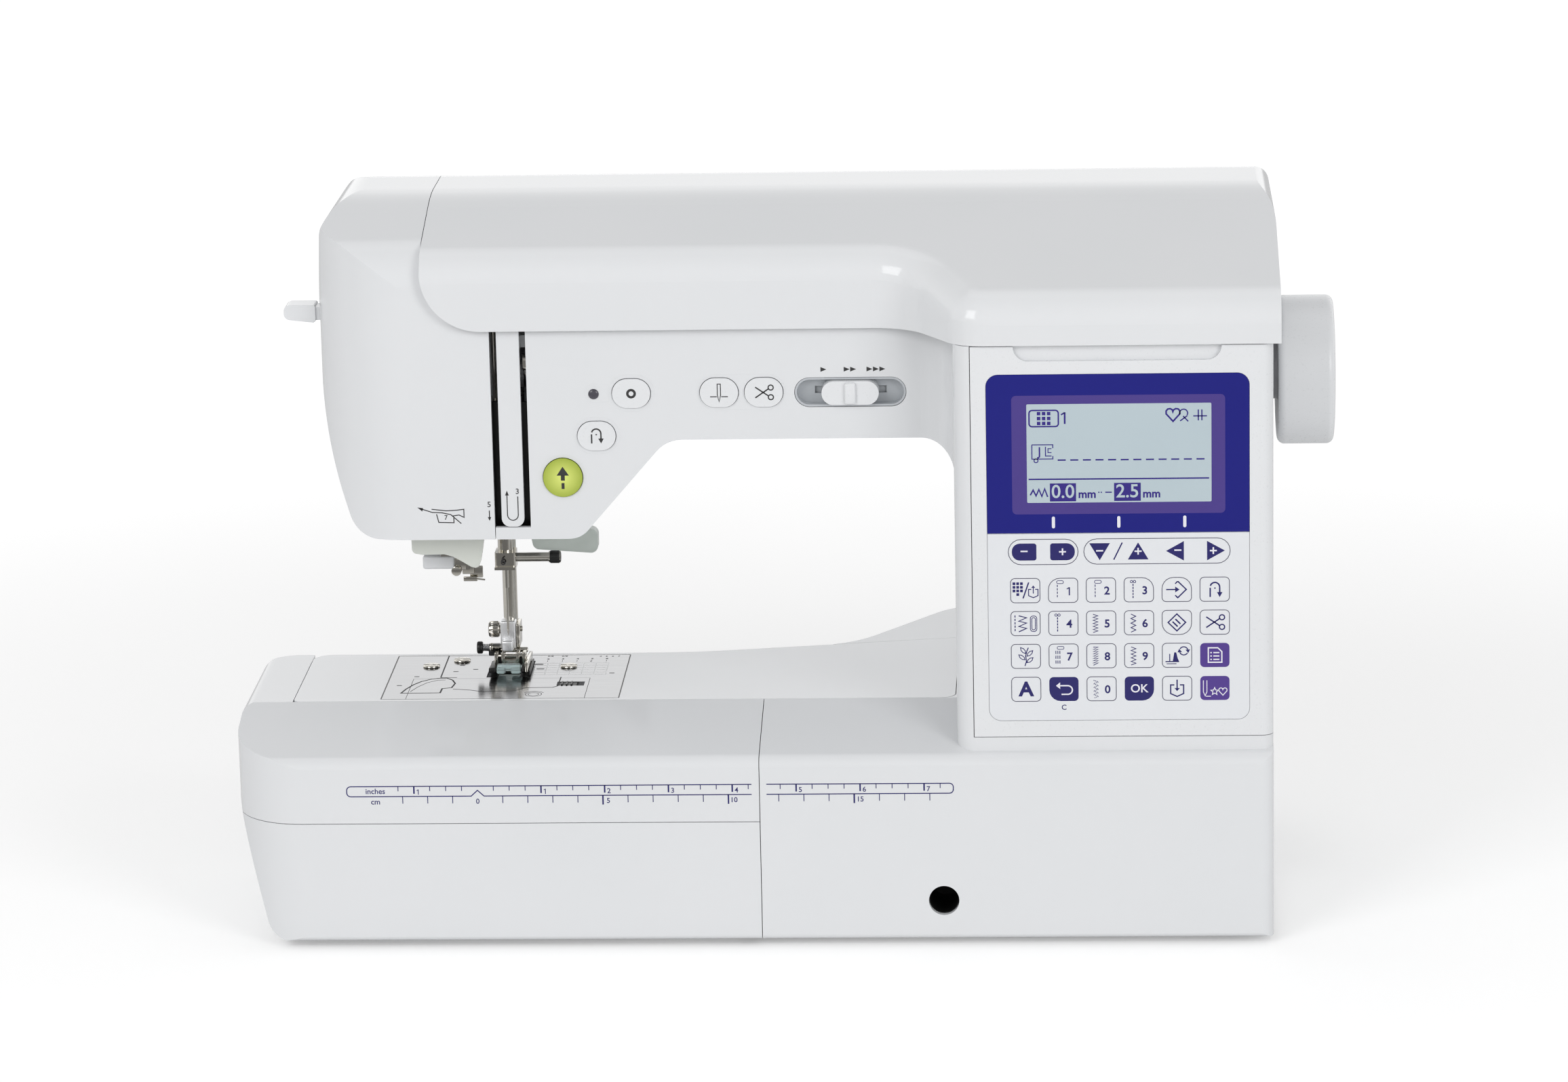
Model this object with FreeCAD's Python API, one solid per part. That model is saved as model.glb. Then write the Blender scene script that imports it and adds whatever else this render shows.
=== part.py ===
import FreeCAD, Part
import math
import os

# A computerised free-arm sewing machine, in millimetres.
# X runs along the bed to the handwheel, Y from the front to the back, Z up from the table.

# Overall sizes
machine_width = 448.0
machine_height = 294.0
machine_depth = 196.0

# Mouldings
wall = 2.6
seam = 0.3
foot_height = 3.0
bed_height = 91.0
bed_skin = 4.5
band_drop = 11.7
band_depth = 48.0
extension_length = 214.0
nose_radius = 28.0
free_arm_left = 20.0
free_arm_rear = 122.0
free_arm_low = 30.0
bed_sweep = 21.0
column_width = 127.0
column_front = 5.0
column_shoulder = 42.0
arm_front = 45.0
arm_rear = 158.0
arm_height = 46.0
head_left = 33.2
head_drop = 41.0
head_slope = 36.0
head_right = 141.0
lid_height = 47.0
lid_overhang = 3.0
lid_proud = 4.0
lid_blend_width = 40.0
lid_slope = 17.2
lid_crease = 14.0
lid_ridge_y = 95.0
lid_left = 79.0
cover_split = 100.0
compartment_height = 50.0

# Handwheel and drive
wheel_width = 23.0
wheel_gap = 4.0
wheel_radius = 30.5
shaft_radius = 5.0
shaft_drop = 29.0
lower_shaft_radius = 4.0
lower_shaft_height = 50.0
running_fit = 0.05
clearance = 0.3
needle_stroke = 31.0
rod_length = 28.0
belt_width = 8.0
belt_thickness = 1.6
drive_pulley_radius = 22.0
motor_pulley_radius = 9.0
timing_pulley_radius = 14.0
motor_radius = 22.0
motor_length = 60.0
motor_y = 160.0
motor_z = 52.0
hook_gear_radius = 7.5
hook_gear_ratio = 2.0
gear_teeth = 12

# Needle and presser
needle_x = 105.5
needle_y = 90.0
needle_bar_radius = 3.2
presser_bar_radius = 3.0
presser_offset = 13.0
needle_rise = 16.4
foot_width = 22.0
foot_length = 38.0

# Needle plate and hook
plate_left = 56.0
plate_width = 98.0
plate_front = 51.0
plate_depth = 68.0
plate_thickness = 2.0
bobbin_cover_left = 66.0
bobbin_cover_width = 74.0
bobbin_cover_depth = 31.5
hook_x = 103.0
hook_y = 70.0
hook_radius = 17.5
hook_height = 17.0
bobbin_radius = 10.2
bobbin_height = 11.5

# Control panel
panel_margin = 7.0
panel_thickness = 3.0
overlay_width = 104.5
overlay_height = 142.5
overlay_rise = 6.5
overlay_recess = 0.8
display_share = 65.0
window_width = 84.0
window_height = 48.7
groove_width = 82.5
groove_height = 6.0

# Arm controls
start_radius = 8.0
pill_width = 15.5
pill_height = 12.0
button_proud = 0.8
button_travel = 1.0
button_fit = 0.25
slider_width = 45.3
slider_height = 12.3
knob_width = 23.1

# Sockets
knee_bore = 5.85
knee_wall = 2.2
knee_depth = 30.0

# Places that follow from the sizes above
floor = foot_height
base_right = machine_width - wheel_width - wheel_gap
column_left = base_right - column_width
lid_low = machine_height - lid_height
arm_bottom = lid_low - arm_height
head_bottom = arm_bottom - head_drop
shaft_y = needle_y
shaft_z = lid_low - shaft_drop
seam_z = floor + compartment_height
band_low = bed_height - band_drop
panel_left = column_left + panel_margin
panel_low = bed_height - 4.5
overlay_left = panel_left + 6.0
overlay_low = panel_low + overlay_rise
presser_y = needle_y + presser_offset
needle_tip = bed_height + needle_rise
plate_right = plate_left + plate_width
plate_rear = plate_front + plate_depth
left_slot = needle_x + 2.2
right_slot = needle_x + 14.0
slot_width = 2.6
knee_x = column_left - 6.0
knee_z = floor + 16.2
lid_hinge_y = arm_rear + 1.6
lid_hinge_z = lid_low + 3.0
head_plate_left = right_slot + 5.0
head_plate_width = 6.0
crank_radius = needle_stroke / 2
frame_y = 128.0
frame_thickness = 6.0
frame_low = free_arm_low + wall + 0.4
frame_floor = 6.0
post_left = column_left + 10.0
post_width = 52.0
right_bearing = base_right - 21.0
motor_belt_x = base_right - 37.0
timing_belt_x = base_right - 59.0
lower_shaft_y = hook_y + hook_gear_radius * (1 + hook_gear_ratio) + clearance


def vector(x, y, z):
    return FreeCAD.Vector(x, y, z)


def box(x0, x1, y0, y1, z0, z1):
    return Part.makeBox(x1 - x0, y1 - y0, z1 - z0, vector(x0, y0, z0))


def rod_x(radius, x0, x1, y, z):
    return Part.makeCylinder(radius, x1 - x0, vector(x0, y, z), vector(1, 0, 0))


def rod_y(radius, y0, y1, x, z):
    return Part.makeCylinder(radius, y1 - y0, vector(x, y0, z), vector(0, 1, 0))


def rod_z(radius, z0, z1, x, y):
    return Part.makeCylinder(radius, z1 - z0, vector(x, y, z0), vector(0, 0, 1))


def place(plane, a, b, level):
    """Put a flat point on the plane xy, xz or yz at its level along the third axis."""
    if plane == "xy":
        return vector(a, b, level)
    if plane == "xz":
        return vector(a, level, b)
    return vector(level, a, b)


def outline(plane, points, level):
    """Closed wire through corners (a, b) or (a, b, radius), with an arc at each rounded corner."""
    count = len(points)
    edges = []
    stops = []
    for i in range(count):
        corner = FreeCAD.Vector(points[i][0], points[i][1], 0)
        before = FreeCAD.Vector(points[i - 1][0], points[i - 1][1], 0)
        after = FreeCAD.Vector(points[(i + 1) % count][0], points[(i + 1) % count][1], 0)
        radius = points[i][2] if len(points[i]) > 2 else 0.0
        if radius == 0.0:
            stops.append((corner, corner, None))
            continue
        back = (before - corner).normalize()
        ahead = (after - corner).normalize()
        half = back.getAngle(ahead) / 2
        reach = radius / math.tan(half)
        middle = corner + (back + ahead).normalize() * (radius / math.sin(half) - radius)
        stops.append((corner + back * reach, corner + ahead * reach, middle))
    for i in range(count):
        start, end, middle = stops[i]
        following = stops[(i + 1) % count][0]
        if middle is not None:
            ends = [place(plane, p.x, p.y, level) for p in (start, middle, end)]
            edges.append(Part.Arc(*ends).toShape())
        if (following - end).Length > 1e-6:
            line = Part.LineSegment(place(plane, end.x, end.y, level),
                                    place(plane, following.x, following.y, level))
            edges.append(line.toShape())
    return Part.Wire(edges)


def prism(plane, points, low, high):
    """Solid with the given outline, between two levels along the plane's third axis."""
    face = Part.Face(outline(plane, points, low))
    return face.extrude(place(plane, 0, 0, high - low))


def pill(x, z, width, height, y0, y1):
    """Stadium-shaped bar along Y, centred on x and z."""
    half = width / 2
    tall = height / 2
    radius = tall - 0.001
    corners = [(x - half, z - tall, radius), (x + half, z - tall, radius),
               (x + half, z + tall, radius), (x - half, z + tall, radius)]
    return prism("xz", corners, y0, y1)


def rounded_edges(shape, radius, wanted):
    """Fillet the edges for which the test on their bounding box is true."""
    edges = [edge for edge in shape.Edges if wanted(edge.BoundBox)]
    return shape.makeFillet(radius, edges)


def joined(shapes):
    """One solid from shapes that share volume or faces."""
    whole = shapes[0].multiFuse(shapes[1:])
    return whole.removeSplitter()


# Housing forms


def base_form(inset):
    """Block under the column with the sloping front band; the inset form is open below."""
    low = floor - 1 if inset else floor
    left = extension_length + seam + inset
    right = base_right - inset
    rear = machine_depth - inset
    plan = [(left, inset), (right, inset, 5 - inset / 2), (right, rear, 24 - inset),
            (column_left - 4 + inset, rear, 24 - inset),
            (column_left - 44 + inset, free_arm_rear + 16 - inset, 40),
            (left, free_arm_rear + 2 * seam - inset)]
    section = [(inset, low, 0 if inset else 2), (inset, band_low - 0.8 * inset, 5),
               (band_depth, bed_height - inset), (machine_depth, bed_height - inset),
               (machine_depth, low)]
    return prism("xy", plan, low, bed_height).common(prism("yz", section, 0, base_right))


def column_form(inset):
    """Upright column with a sloping shoulder behind the lid; the inset form is open above and below."""
    low = bed_height - (30 if inset else 20)
    left = column_left + inset
    right = base_right - inset
    front = column_front + inset
    rear = machine_depth - inset
    plan = [(left, front, 8 - inset), (right, front, 5 - inset / 2),
            (right, rear, 24 - inset), (left, rear, 24 - inset)]
    slope_top = arm_rear + 4 - inset / 2
    slope_low = lid_low - column_shoulder - inset / 2
    section = [(front, low), (front, lid_low + (1 if inset else 0)), (slope_top, lid_low - inset),
               (rear, slope_low, 20), (rear, low)]
    if inset:
        section = [(front, low), (front, lid_low + 1), (arm_rear - inset, lid_low + 1),
                   (arm_rear - inset, lid_low - inset), (slope_top, lid_low - inset),
                   (rear, slope_low, 20), (rear, low)]
    return prism("xy", plan, low, lid_low + 1).common(prism("yz", section, 0, base_right))


def slope_height(y):
    """Height of the sloping top over a point in front of the ridge."""
    return machine_height - (lid_ridge_y - y) * math.tan(math.radians(lid_slope))


def upper_form(inset):
    """Head and arm up to the crown, with the bulged left end and the slope down to the head."""
    top = machine_height - inset
    low = head_bottom + inset
    under = arm_bottom + inset
    slant = 0.45 * inset
    left = head_left + inset
    right = base_right - inset
    elevation = [(left + 3, top, 14), (left, head_bottom + 88, 90), (left, head_bottom + 45, 185),
                 (left + 15.6, low, 13), (head_right - slant, low, 10),
                 (head_right + head_slope - slant, under, 14),
                 (column_left + inset, under, 14), (column_left + inset, under - 30), (right, under - 30),
                 (right, top)]
    front = arm_front + inset
    rear = arm_rear - inset
    plan = [(left, front, 38 - inset), (column_left + inset, front, 14),
            (column_left + inset, column_front + inset, 8 - inset),
            (right, column_front + inset, 5 - inset / 2), (right, rear), (left, rear, 30 - inset)]
    section = [(column_front - 1, low - 40), (column_front - 1, lid_low + inset),
               (front, lid_low + inset),
               (front, slope_height(front) - inset, 20), (lid_ridge_y, top, 80), (rear, top, 24),
               (rear, low - 40)]
    form = prism("xz", elevation, column_front, arm_rear)
    form = form.common(prism("xy", plan, low - 40, top))
    return form.common(prism("yz", section, 0, base_right))


def lid_region(gap, low):
    """The space of the lid seen from the front, grown by a gap, down to a level."""
    right = base_right + lid_overhang + gap
    corners = [(lid_left - gap, machine_height + 1), (lid_left - gap, low, 24), (right, low),
               (right, machine_height + 1, 11)]
    return prism("xz", corners, -5, machine_depth)


def bed_plan(grow):
    """Top view of the bed from the free arm's end to the column, where its back edge sweeps out."""
    right = column_left - 1.5 + grow
    front = band_depth + seam - grow
    return [(free_arm_left - grow, front, 3), (right, front, 6),
            (right, free_arm_rear + bed_sweep + grow),
            (extension_length - 34, free_arm_rear + grow, 160),
            (free_arm_left - grow, free_arm_rear + grow, 8)]


def bed_space():
    """Room for the bed cover in the base, with its seam."""
    return prism("xy", bed_plan(seam), free_arm_low - seam, bed_height + 1)


def button_places():
    """Centres of the arm buttons in the front view, measured from the needle and the arm."""
    row = lid_low - 26.5
    return {"start_button": (needle_x + 29.0, arm_bottom - 15.2),
            "reverse_button": (needle_x + 43.2, arm_bottom + 2.0),
            "tie_off_button": (needle_x + 57.7, row),
            "needle_position_button": (needle_x + 93.3, row),
            "thread_cutter_button": (needle_x + 111.4, row)}


def button_hole(name, place_xz, grow, y0, y1):
    """Round bar for the start button, or a pill for the others."""
    if name == "start_button":
        return rod_y(start_radius + grow, y0, y1, place_xz[0], place_xz[1])
    return pill(place_xz[0], place_xz[1], pill_width + 2 * grow, pill_height + 2 * grow, y0, y1)


def slider_place():
    """Centre of the speed slider in the front view."""
    return needle_x + 146.4, lid_low - 26.8


lamp_x, lamp_z = needle_x + 42.4, lid_low - 26.7
lamp_radius = 1.8


def body_shell():
    """The one-piece outer wall of base, column, arm and head, before it is parted into covers."""
    outer = base_form(0).fuse(column_form(0)).fuse(upper_form(0))
    inner = base_form(wall).fuse(column_form(wall)).fuse(upper_form(wall))
    return outer.cut(inner)


shell = body_shell()
thread_slot_low = head_bottom + 9.0
head_opening = box(needle_x - 36, needle_x + 12.6, needle_y - 20, presser_y + 9, head_bottom - 2,
                   head_bottom + 12)
boss_hole = rod_x(13.0, base_right - 10, base_right + 1, shaft_y, shaft_z)


def below_lid():
    """Everything under the lid line and right of the face cover's seam."""
    return box(left_slot - slot_width / 2, machine_width, -5, machine_depth + 5, 0, lid_low)


def front_cover():
    """Arm front, column sides and base front in one moulding, with the openings for the controls."""
    cover = shell.common(below_lid()).common(box(0, machine_width, -5, cover_split, 0, lid_low))
    cover = cover.cut(bed_space())
    cover = cover.cut(box(panel_left - seam, machine_width, -1, column_front + 8 + seam, panel_low - seam,
                          lid_low + 1))
    cover = cover.cut(box(left_slot - slot_width / 2, right_slot + slot_width / 2, arm_front - 1,
                          arm_front + 2 * wall,
                          thread_slot_low - 4, lid_low + 1))
    for name, spot in button_places().items():
        cover = cover.cut(button_hole(name, spot, button_fit, arm_front - 1, arm_front + 2 * wall))
    slider_x, slider_z = slider_place()
    cover = cover.cut(pill(slider_x, slider_z, slider_width, slider_height, arm_front - 1,
                           arm_front + 2 * wall))
    cover = cover.cut(rod_y(lamp_radius + button_fit, arm_front - 1, arm_front + 2 * wall, lamp_x,
                            lamp_z))
    collar = rod_y(knee_bore + knee_wall + clearance + 2.5, 0, knee_depth - 6, knee_x, knee_z)
    cover = cover.fuse(collar.common(base_form(0)))
    cover = cover.cut(rod_y(knee_bore + knee_wall + clearance, wall, knee_depth, knee_x, knee_z))
    cover = cover.cut(rod_y(knee_bore + clearance, -1, knee_depth, knee_x, knee_z))
    return cover.cut(boss_hole).cut(head_opening).removeSplitter()


def lever_notch():
    """Opening at the lower back of the head for the presser lever's swing."""
    return box(needle_x + 1, needle_x + 52, frame_y - 6, arm_rear + 1, head_bottom - 1, head_bottom + 27)


switch_y = 150.0
inlet_y = 118.0
jack_y = 176.0
socket_z = 24.0
rocker_hub = 2.0
rocker_width = 11.0
rocker_height = 17.0
inlet_width = 26.0
inlet_height = 15.0
jack_radius = 6.5
knuckle_radius = 3.0
knuckle_width = 11.0
hinge_pin_radius = 1.5


def hinge_places():
    """Left ends of the two lid hinges."""
    return [head_right + 20.0, column_left - 20.0]


def rear_cover():
    """Back of the arm, column and base, with the sockets in the side and the fixed hinge knuckles."""
    cover = shell.common(below_lid()).common(box(0, machine_width, cover_split + seam, machine_depth + 5,
                                                 0, lid_low))
    cover = cover.cut(bed_space()).cut(lever_notch()).cut(boss_hole).cut(head_opening)
    right = base_right
    cover = cover.cut(box(right - 5, right + 1, switch_y - rocker_width / 2 - 0.6,
                          switch_y + rocker_width / 2 + 0.6,
                          socket_z - rocker_height / 2 - 0.6, socket_z + rocker_height / 2 + 0.6))
    cover = cover.cut(box(right - 5, right + 1, inlet_y - inlet_width / 2, inlet_y + inlet_width / 2,
                          socket_z - inlet_height / 2, socket_z + inlet_height / 2))
    cover = cover.cut(rod_x(jack_radius + 0.1, right - 8, right + 1, jack_y, socket_z + 10))
    for x in hinge_places():
        ear = rod_x(knuckle_radius, x, x + knuckle_width, lid_hinge_y, lid_hinge_z)
        ear = ear.fuse(box(x, x + knuckle_width, arm_rear - wall / 2, lid_hinge_y + knuckle_radius,
                           lid_low - 8, lid_low - 1))
        ear = ear.fuse(box(x, x + knuckle_width, arm_rear + 0.4, lid_hinge_y + knuckle_radius,
                           lid_low - 2, lid_hinge_z))
        ear = ear.cut(rod_x(hinge_pin_radius + running_fit, x - 1, x + knuckle_width + 1, lid_hinge_y,
                            lid_hinge_z))
        cover = cover.fuse(ear)
    return cover.removeSplitter()


threader_y = needle_y - 10.0
threader_x = needle_x - 19.5
threader_travel = 36.0
lever_low = lid_low - 2.4
lever_thick = 7.5
cutter_z = head_bottom + 8.0


def face_cover():
    """Rounded left end of the head with its thread cutter tab and the slot for the threader lever."""
    cover = upper_form(0).cut(upper_form(wall))
    cover = cover.cut(lid_region(seam, lid_low - seam))
    cover = cover.common(box(0, left_slot - slot_width / 2 - seam, 0, machine_depth, 0,
                             machine_height + 1))
    cover = cover.cut(head_opening)
    slot = box(head_left - 5, head_left + 12, threader_y - 4.4, threader_y + 4.4,
               lever_low - threader_travel - 1, lever_low + lever_thick + 1)
    tab = [(head_left + 9.2, cutter_z + 6.5), (head_left + 13.8, cutter_z - 6.5, 2),
           (head_left + 22, cutter_z - 6.5), (head_left + 22, cutter_z + 6.5)]
    cutter = prism("xz", tab, presser_y - 4, presser_y + 6)
    return joined([cover.cut(slot), cutter.cut(upper_form(wall / 2))])


# Lid and top deck


def lid_form(inset, low):
    """Lid with an upright front band that curves forward over the column, under a sloping top."""
    band = arm_front - lid_proud + inset
    nose = column_front - 1.5 + inset
    top = machine_height - inset
    rear = arm_rear - inset
    left = lid_left - 5
    right = base_right + lid_overhang + 5
    plan = [(left, band), (panel_left - lid_blend_width / 2 - 6 + inset, band, 24),
            (panel_left - 4 + inset, nose, 16), (right, nose), (right, rear), (left, rear)]
    section = [(nose - 1, low), (nose - 1, slope_height(nose - 1) - inset), (lid_ridge_y, top, 80),
               (rear, top, 24 - inset), (rear, low)]
    form = prism("xy", plan, low, machine_height).common(prism("yz", section, left, right))
    crease_low = slope_height(nose) - inset - 0.1
    crease_high = slope_height(band) - inset + 0.1
    return rounded_edges(form, lid_crease - inset,
                         lambda span: span.ZMin > crease_low and span.ZMax < crease_high
                         and span.YMax < band + 0.1)


def hinge_knuckle(x):
    """Knuckle of the lid beside a fixed one, joined to the lid's back wall."""
    left = x + knuckle_width + 0.4
    right = left + knuckle_width
    arm = box(left, right, arm_rear - wall / 2, lid_hinge_y, lid_hinge_z - knuckle_radius + 0.4,
              lid_hinge_z + knuckle_radius)
    arm = arm.fuse(rod_x(knuckle_radius, left, right, lid_hinge_y, lid_hinge_z))
    return arm.cut(rod_x(hinge_pin_radius + running_fit, left - 1, right + 1, lid_hinge_y, lid_hinge_z))


def top_lid():
    """Lid shell, open below, with two hinge knuckles at the back."""
    lid = lid_form(0, lid_low + seam).common(lid_region(0, lid_low + seam))
    lid = lid.cut(lid_form(wall, lid_low - 2).common(lid_region(-wall, lid_low - 2)))
    for x in hinge_places():
        lid = lid.cut(rod_x(knuckle_radius + 0.4, x - 0.4, x + knuckle_width + 0.4, lid_hinge_y,
                            lid_hinge_z))
        lid = lid.fuse(hinge_knuckle(x))
    return lid.removeSplitter()


def lid_hinge_pins():
    """Two short pins through the knuckles."""
    pins = [rod_x(hinge_pin_radius, x + 0.5, x + 2 * knuckle_width, lid_hinge_y,
                  lid_hinge_z) for x in hinge_places()]
    return Part.makeCompound(pins)


deck_low = lid_low - 3.2
deck_thickness = 2.6
deck_left = head_plate_left + 6.0
hood_wall = 2.0


def top_deck():
    """Floor under the lid, which closes the arm and column and carries the thread supply."""
    inset = wall + clearance
    deck = upper_form(inset).fuse(column_form(inset))
    deck = deck.common(box(deck_left, base_right, 0, arm_rear - inset, deck_low,
                           deck_low + deck_thickness))
    deck = deck.cut(box(panel_left - 2, base_right, 0, column_front + 12, 0, machine_height))
    front = needle_y - 14
    top = slope_height(front) - wall - 2.4
    hood = box(needle_x - 12.5, deck_left + hood_wall, front, presser_y + 20, deck_low, top)
    room = box(needle_x - 12.5 + hood_wall, deck_left, front + hood_wall, presser_y + 20 - hood_wall,
               deck_low - 1,
               top - hood_wall)
    return joined([deck, hood]).cut(room)


spool_y = 112.0
spool_z = lid_low + 23.0
spool_left = head_right + 74.0
spool_length = 74.0
spool_radius = 2.5
winder_x = base_right - 48.0
winder_y = 92.0
deck_top = deck_low + deck_thickness


def spool_pin():
    """Horizontal spool pin on its foot."""
    pin = rod_x(spool_radius, spool_left, spool_left + spool_length, spool_y, spool_z)
    post = box(spool_left + spool_length - 4, spool_left + spool_length, spool_y - 6, spool_y + 6,
               deck_top, spool_z + 5)
    return joined([pin, post])


def bobbin_winder():
    """Winder spindle with its seat for a bobbin."""
    spindle = rod_z(2.9, deck_top, lid_low + 18, winder_x, winder_y)
    seat = rod_z(8.0, deck_top + clearance, deck_top + 4, winder_x, winder_y)
    return joined([spindle, seat])


# Bed, free arm, extension and drawer


def bed_cover():
    """Top and sides of the free arm, reaching to the column, with the pocket for the needle plate."""
    cover = prism("xy", bed_plan(0), free_arm_low, bed_height)
    inside = bed_plan(-wall)
    inside[1] = (column_left + 5, band_depth + seam + wall)
    inside[2] = (column_left + 5, free_arm_rear + bed_sweep - wall)
    cover = cover.cut(prism("xy", inside, free_arm_low - 1, bed_height - bed_skin))
    pocket_low = bed_height - plate_thickness
    fit = 0.15
    cover = cover.cut(box(plate_left - fit, plate_right + fit, plate_front - fit, plate_rear + fit,
                          pocket_low, bed_height + 1))
    ledge = 2.0
    cover = cover.cut(box(plate_left + ledge, plate_right - ledge, plate_front + ledge,
                          plate_rear - ledge, 60, bed_height))
    return cover


def extension_form(inset):
    """Outer form of the bed extension, with the nose, the sloping band and the lean of its left end."""
    low = floor - 1 if inset else floor
    right = extension_length - inset
    plan = [(inset, inset, nose_radius - inset), (right, inset), (right, free_arm_rear - inset),
            (inset, free_arm_rear - inset, 14 - inset)]
    section = [(inset, low, 0 if inset else 2), (inset, band_low - 0.8 * inset, 5),
               (band_depth, bed_height - inset),
               (free_arm_rear, bed_height - inset), (free_arm_rear, low)]
    lean = inset - 1
    elevation = [(lean, bed_height - inset, 5), (lean, seam_z + 9, 90), (14 + inset, low, 10),
                 (right, low), (right, bed_height - inset)]
    form = prism("xy", plan, low, bed_height).common(prism("yz", section, 0, extension_length))
    form = form.common(prism("xz", elevation, 0, free_arm_rear))
    hollow_x = free_arm_left - seam - inset
    return form.cut(box(hollow_x, machine_width, band_depth - inset, machine_depth, 0, bed_height + 1))


drawer_back = nose_radius + 2.0
tray_floor = floor + 2.4
tray_wall = 1.8
pad_size = 12.0


def bed_extension():
    """Slide-on extension round the free arm, with the bay for the accessory drawer."""
    body = extension_form(0).cut(extension_form(wall))
    body = body.cut(box(-1, extension_length + 1, -1, drawer_back, 0, seam_z))
    runner = box(16, extension_length - 1, drawer_back + 1, band_depth - wall / 2, floor,
                 tray_floor - clearance)
    roof = box(nose_radius, extension_length - 1, wall / 2, band_depth - 1, seam_z, seam_z + 1.6)
    pieces = [body, runner, roof]
    for x in (24, extension_length - 12 - pad_size):
        pieces.append(box(x, x + pad_size, drawer_back + 2, drawer_back + 2 + pad_size, 0, floor))
    return joined(pieces)


def accessory_drawer():
    """Lower front of the extension: a face round the nose with an accessory tray behind it."""
    face = extension_form(0).cut(extension_form(wall))
    face = face.common(box(-1, extension_length, -1, drawer_back - seam, 0, seam_z - seam))
    left = free_arm_left
    right = extension_length - 8
    back = band_depth - wall - 2 * clearance
    high = seam_z - 4
    tray = box(left, right, wall / 2, back, tray_floor, high)
    room = box(left + tray_wall, right - tray_wall, wall + tray_wall / 2, back - tray_wall,
               tray_floor + tray_wall, high + 1)
    return joined([face, tray.cut(room)])


# Control panel


overlay_right = overlay_left + overlay_width
overlay_top = overlay_low + overlay_height
overlay_middle = (overlay_left + overlay_right) / 2
display_low = overlay_top - display_share
window_top = overlay_top - 8.6
window_low = window_top - window_height
board_y = column_front + 11.0
board_thickness = 1.6


def overlay_part(low, high, y0, y1, shrink, low_radius, high_radius):
    """Flat piece of the panel overlay between two heights."""
    left = overlay_left + shrink
    right = overlay_right - shrink
    corners = [(left, low + shrink, low_radius), (right, low + shrink, low_radius),
               (right, high - shrink, high_radius), (left, high - shrink, high_radius)]
    return prism("xz", corners, y0, y1)


def board_posts():
    """Places of the four posts that carry the control board."""
    return [(x, z) for x in (overlay_left + 5, overlay_right - 5) for z in (overlay_low + 6,
                                                                            overlay_top - 4.5)]


def control_panel():
    """Front moulding of the column with the overlay recess, the display window and the finger groove."""
    panel = column_form(0).cut(column_form(panel_thickness))
    panel = panel.common(box(panel_left, base_right + 1, 0, column_front + 8, panel_low, lid_low - seam))
    panel = panel.cut(overlay_part(overlay_low, overlay_top, 0, column_front + overlay_recess, 0, 5, 5))
    panel = panel.cut(box(overlay_middle - window_width / 2, overlay_middle + window_width / 2, 0,
                          column_front + 5,
                          window_low, window_top))
    groove = pill(overlay_middle, lid_low - seam, groove_width, 2 * groove_height, 0,
                  column_front + panel_thickness - 1)
    posts = [rod_y(2.6, column_front + 2, board_y, x, z) for x, z in board_posts()]
    return joined([panel.cut(groove)] + posts)


def display_window():
    """Clear display lens with its printed surround."""
    return overlay_part(display_low, overlay_top, column_front + 0.2, column_front + overlay_recess, 0.15,
                        0, 4.8)


def membrane_keypad():
    """Printed key film below the display."""
    return overlay_part(overlay_low, display_low, column_front + 0.3, column_front + overlay_recess, 0.15,
                        4.8, 0)


def lcd_module():
    """Display module behind the lens, on the control board."""
    edge = 1.0
    return box(overlay_middle - window_width / 2 + edge, overlay_middle + window_width / 2 - edge,
               column_front + overlay_recess + clearance, board_y, window_low + edge, window_top - edge)


# Arm controls


button_flange = 1.3
flange_y = arm_front + wall + clearance
switch_y0 = flange_y + button_flange + button_travel + clearance
arm_board_y = switch_y0 + 1.5


def arm_button(name):
    """Button cap through its hole, with a flange behind the wall."""
    spot = button_places()[name]
    cap = button_hole(name, spot, 0, arm_front - button_proud, flange_y + button_flange)
    flange = button_hole(name, spot, 1.2, flange_y, flange_y + button_flange)
    return joined([cap, flange])


def circuit_boards():
    """Control board behind the panel, and the arm board with its switches, its lamp and its posts."""
    panel_board = box(overlay_left + 2, overlay_right - 2, board_y, board_y + board_thickness,
                      overlay_low + 3, overlay_top - 1.5)
    left = needle_x + 22.0
    corners = [(left, arm_bottom - 24), (left + 20, arm_bottom - 24), (left + 53, arm_bottom + 6),
               (left + 150, arm_bottom + 6), (left + 150, lid_low - 12), (left, lid_low - 12)]
    pieces = [prism("xz", corners, arm_board_y, arm_board_y + board_thickness)]
    for spot in button_places().values():
        pieces.append(rod_y(2.5, switch_y0, arm_board_y + 0.5, spot[0], spot[1]))
    for x, z in ((left + 5, lid_low - 17), (left + 60, lid_low - 38.2), (left + 130, lid_low - 38.2)):
        pieces.append(rod_y(2.2, arm_front + wall, arm_board_y + 0.5, x, z))
    pieces.append(rod_y(lamp_radius, arm_front - 0.1, arm_board_y + 0.5, lamp_x, lamp_z))
    return Part.makeCompound([panel_board, joined(pieces)])


bezel_wall = 0.8
bezel_back = arm_board_y - 0.6
bezel_floor = 1.2
knob_travel = (slider_width - 2 * bezel_wall - knob_width) / 2 - clearance


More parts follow.
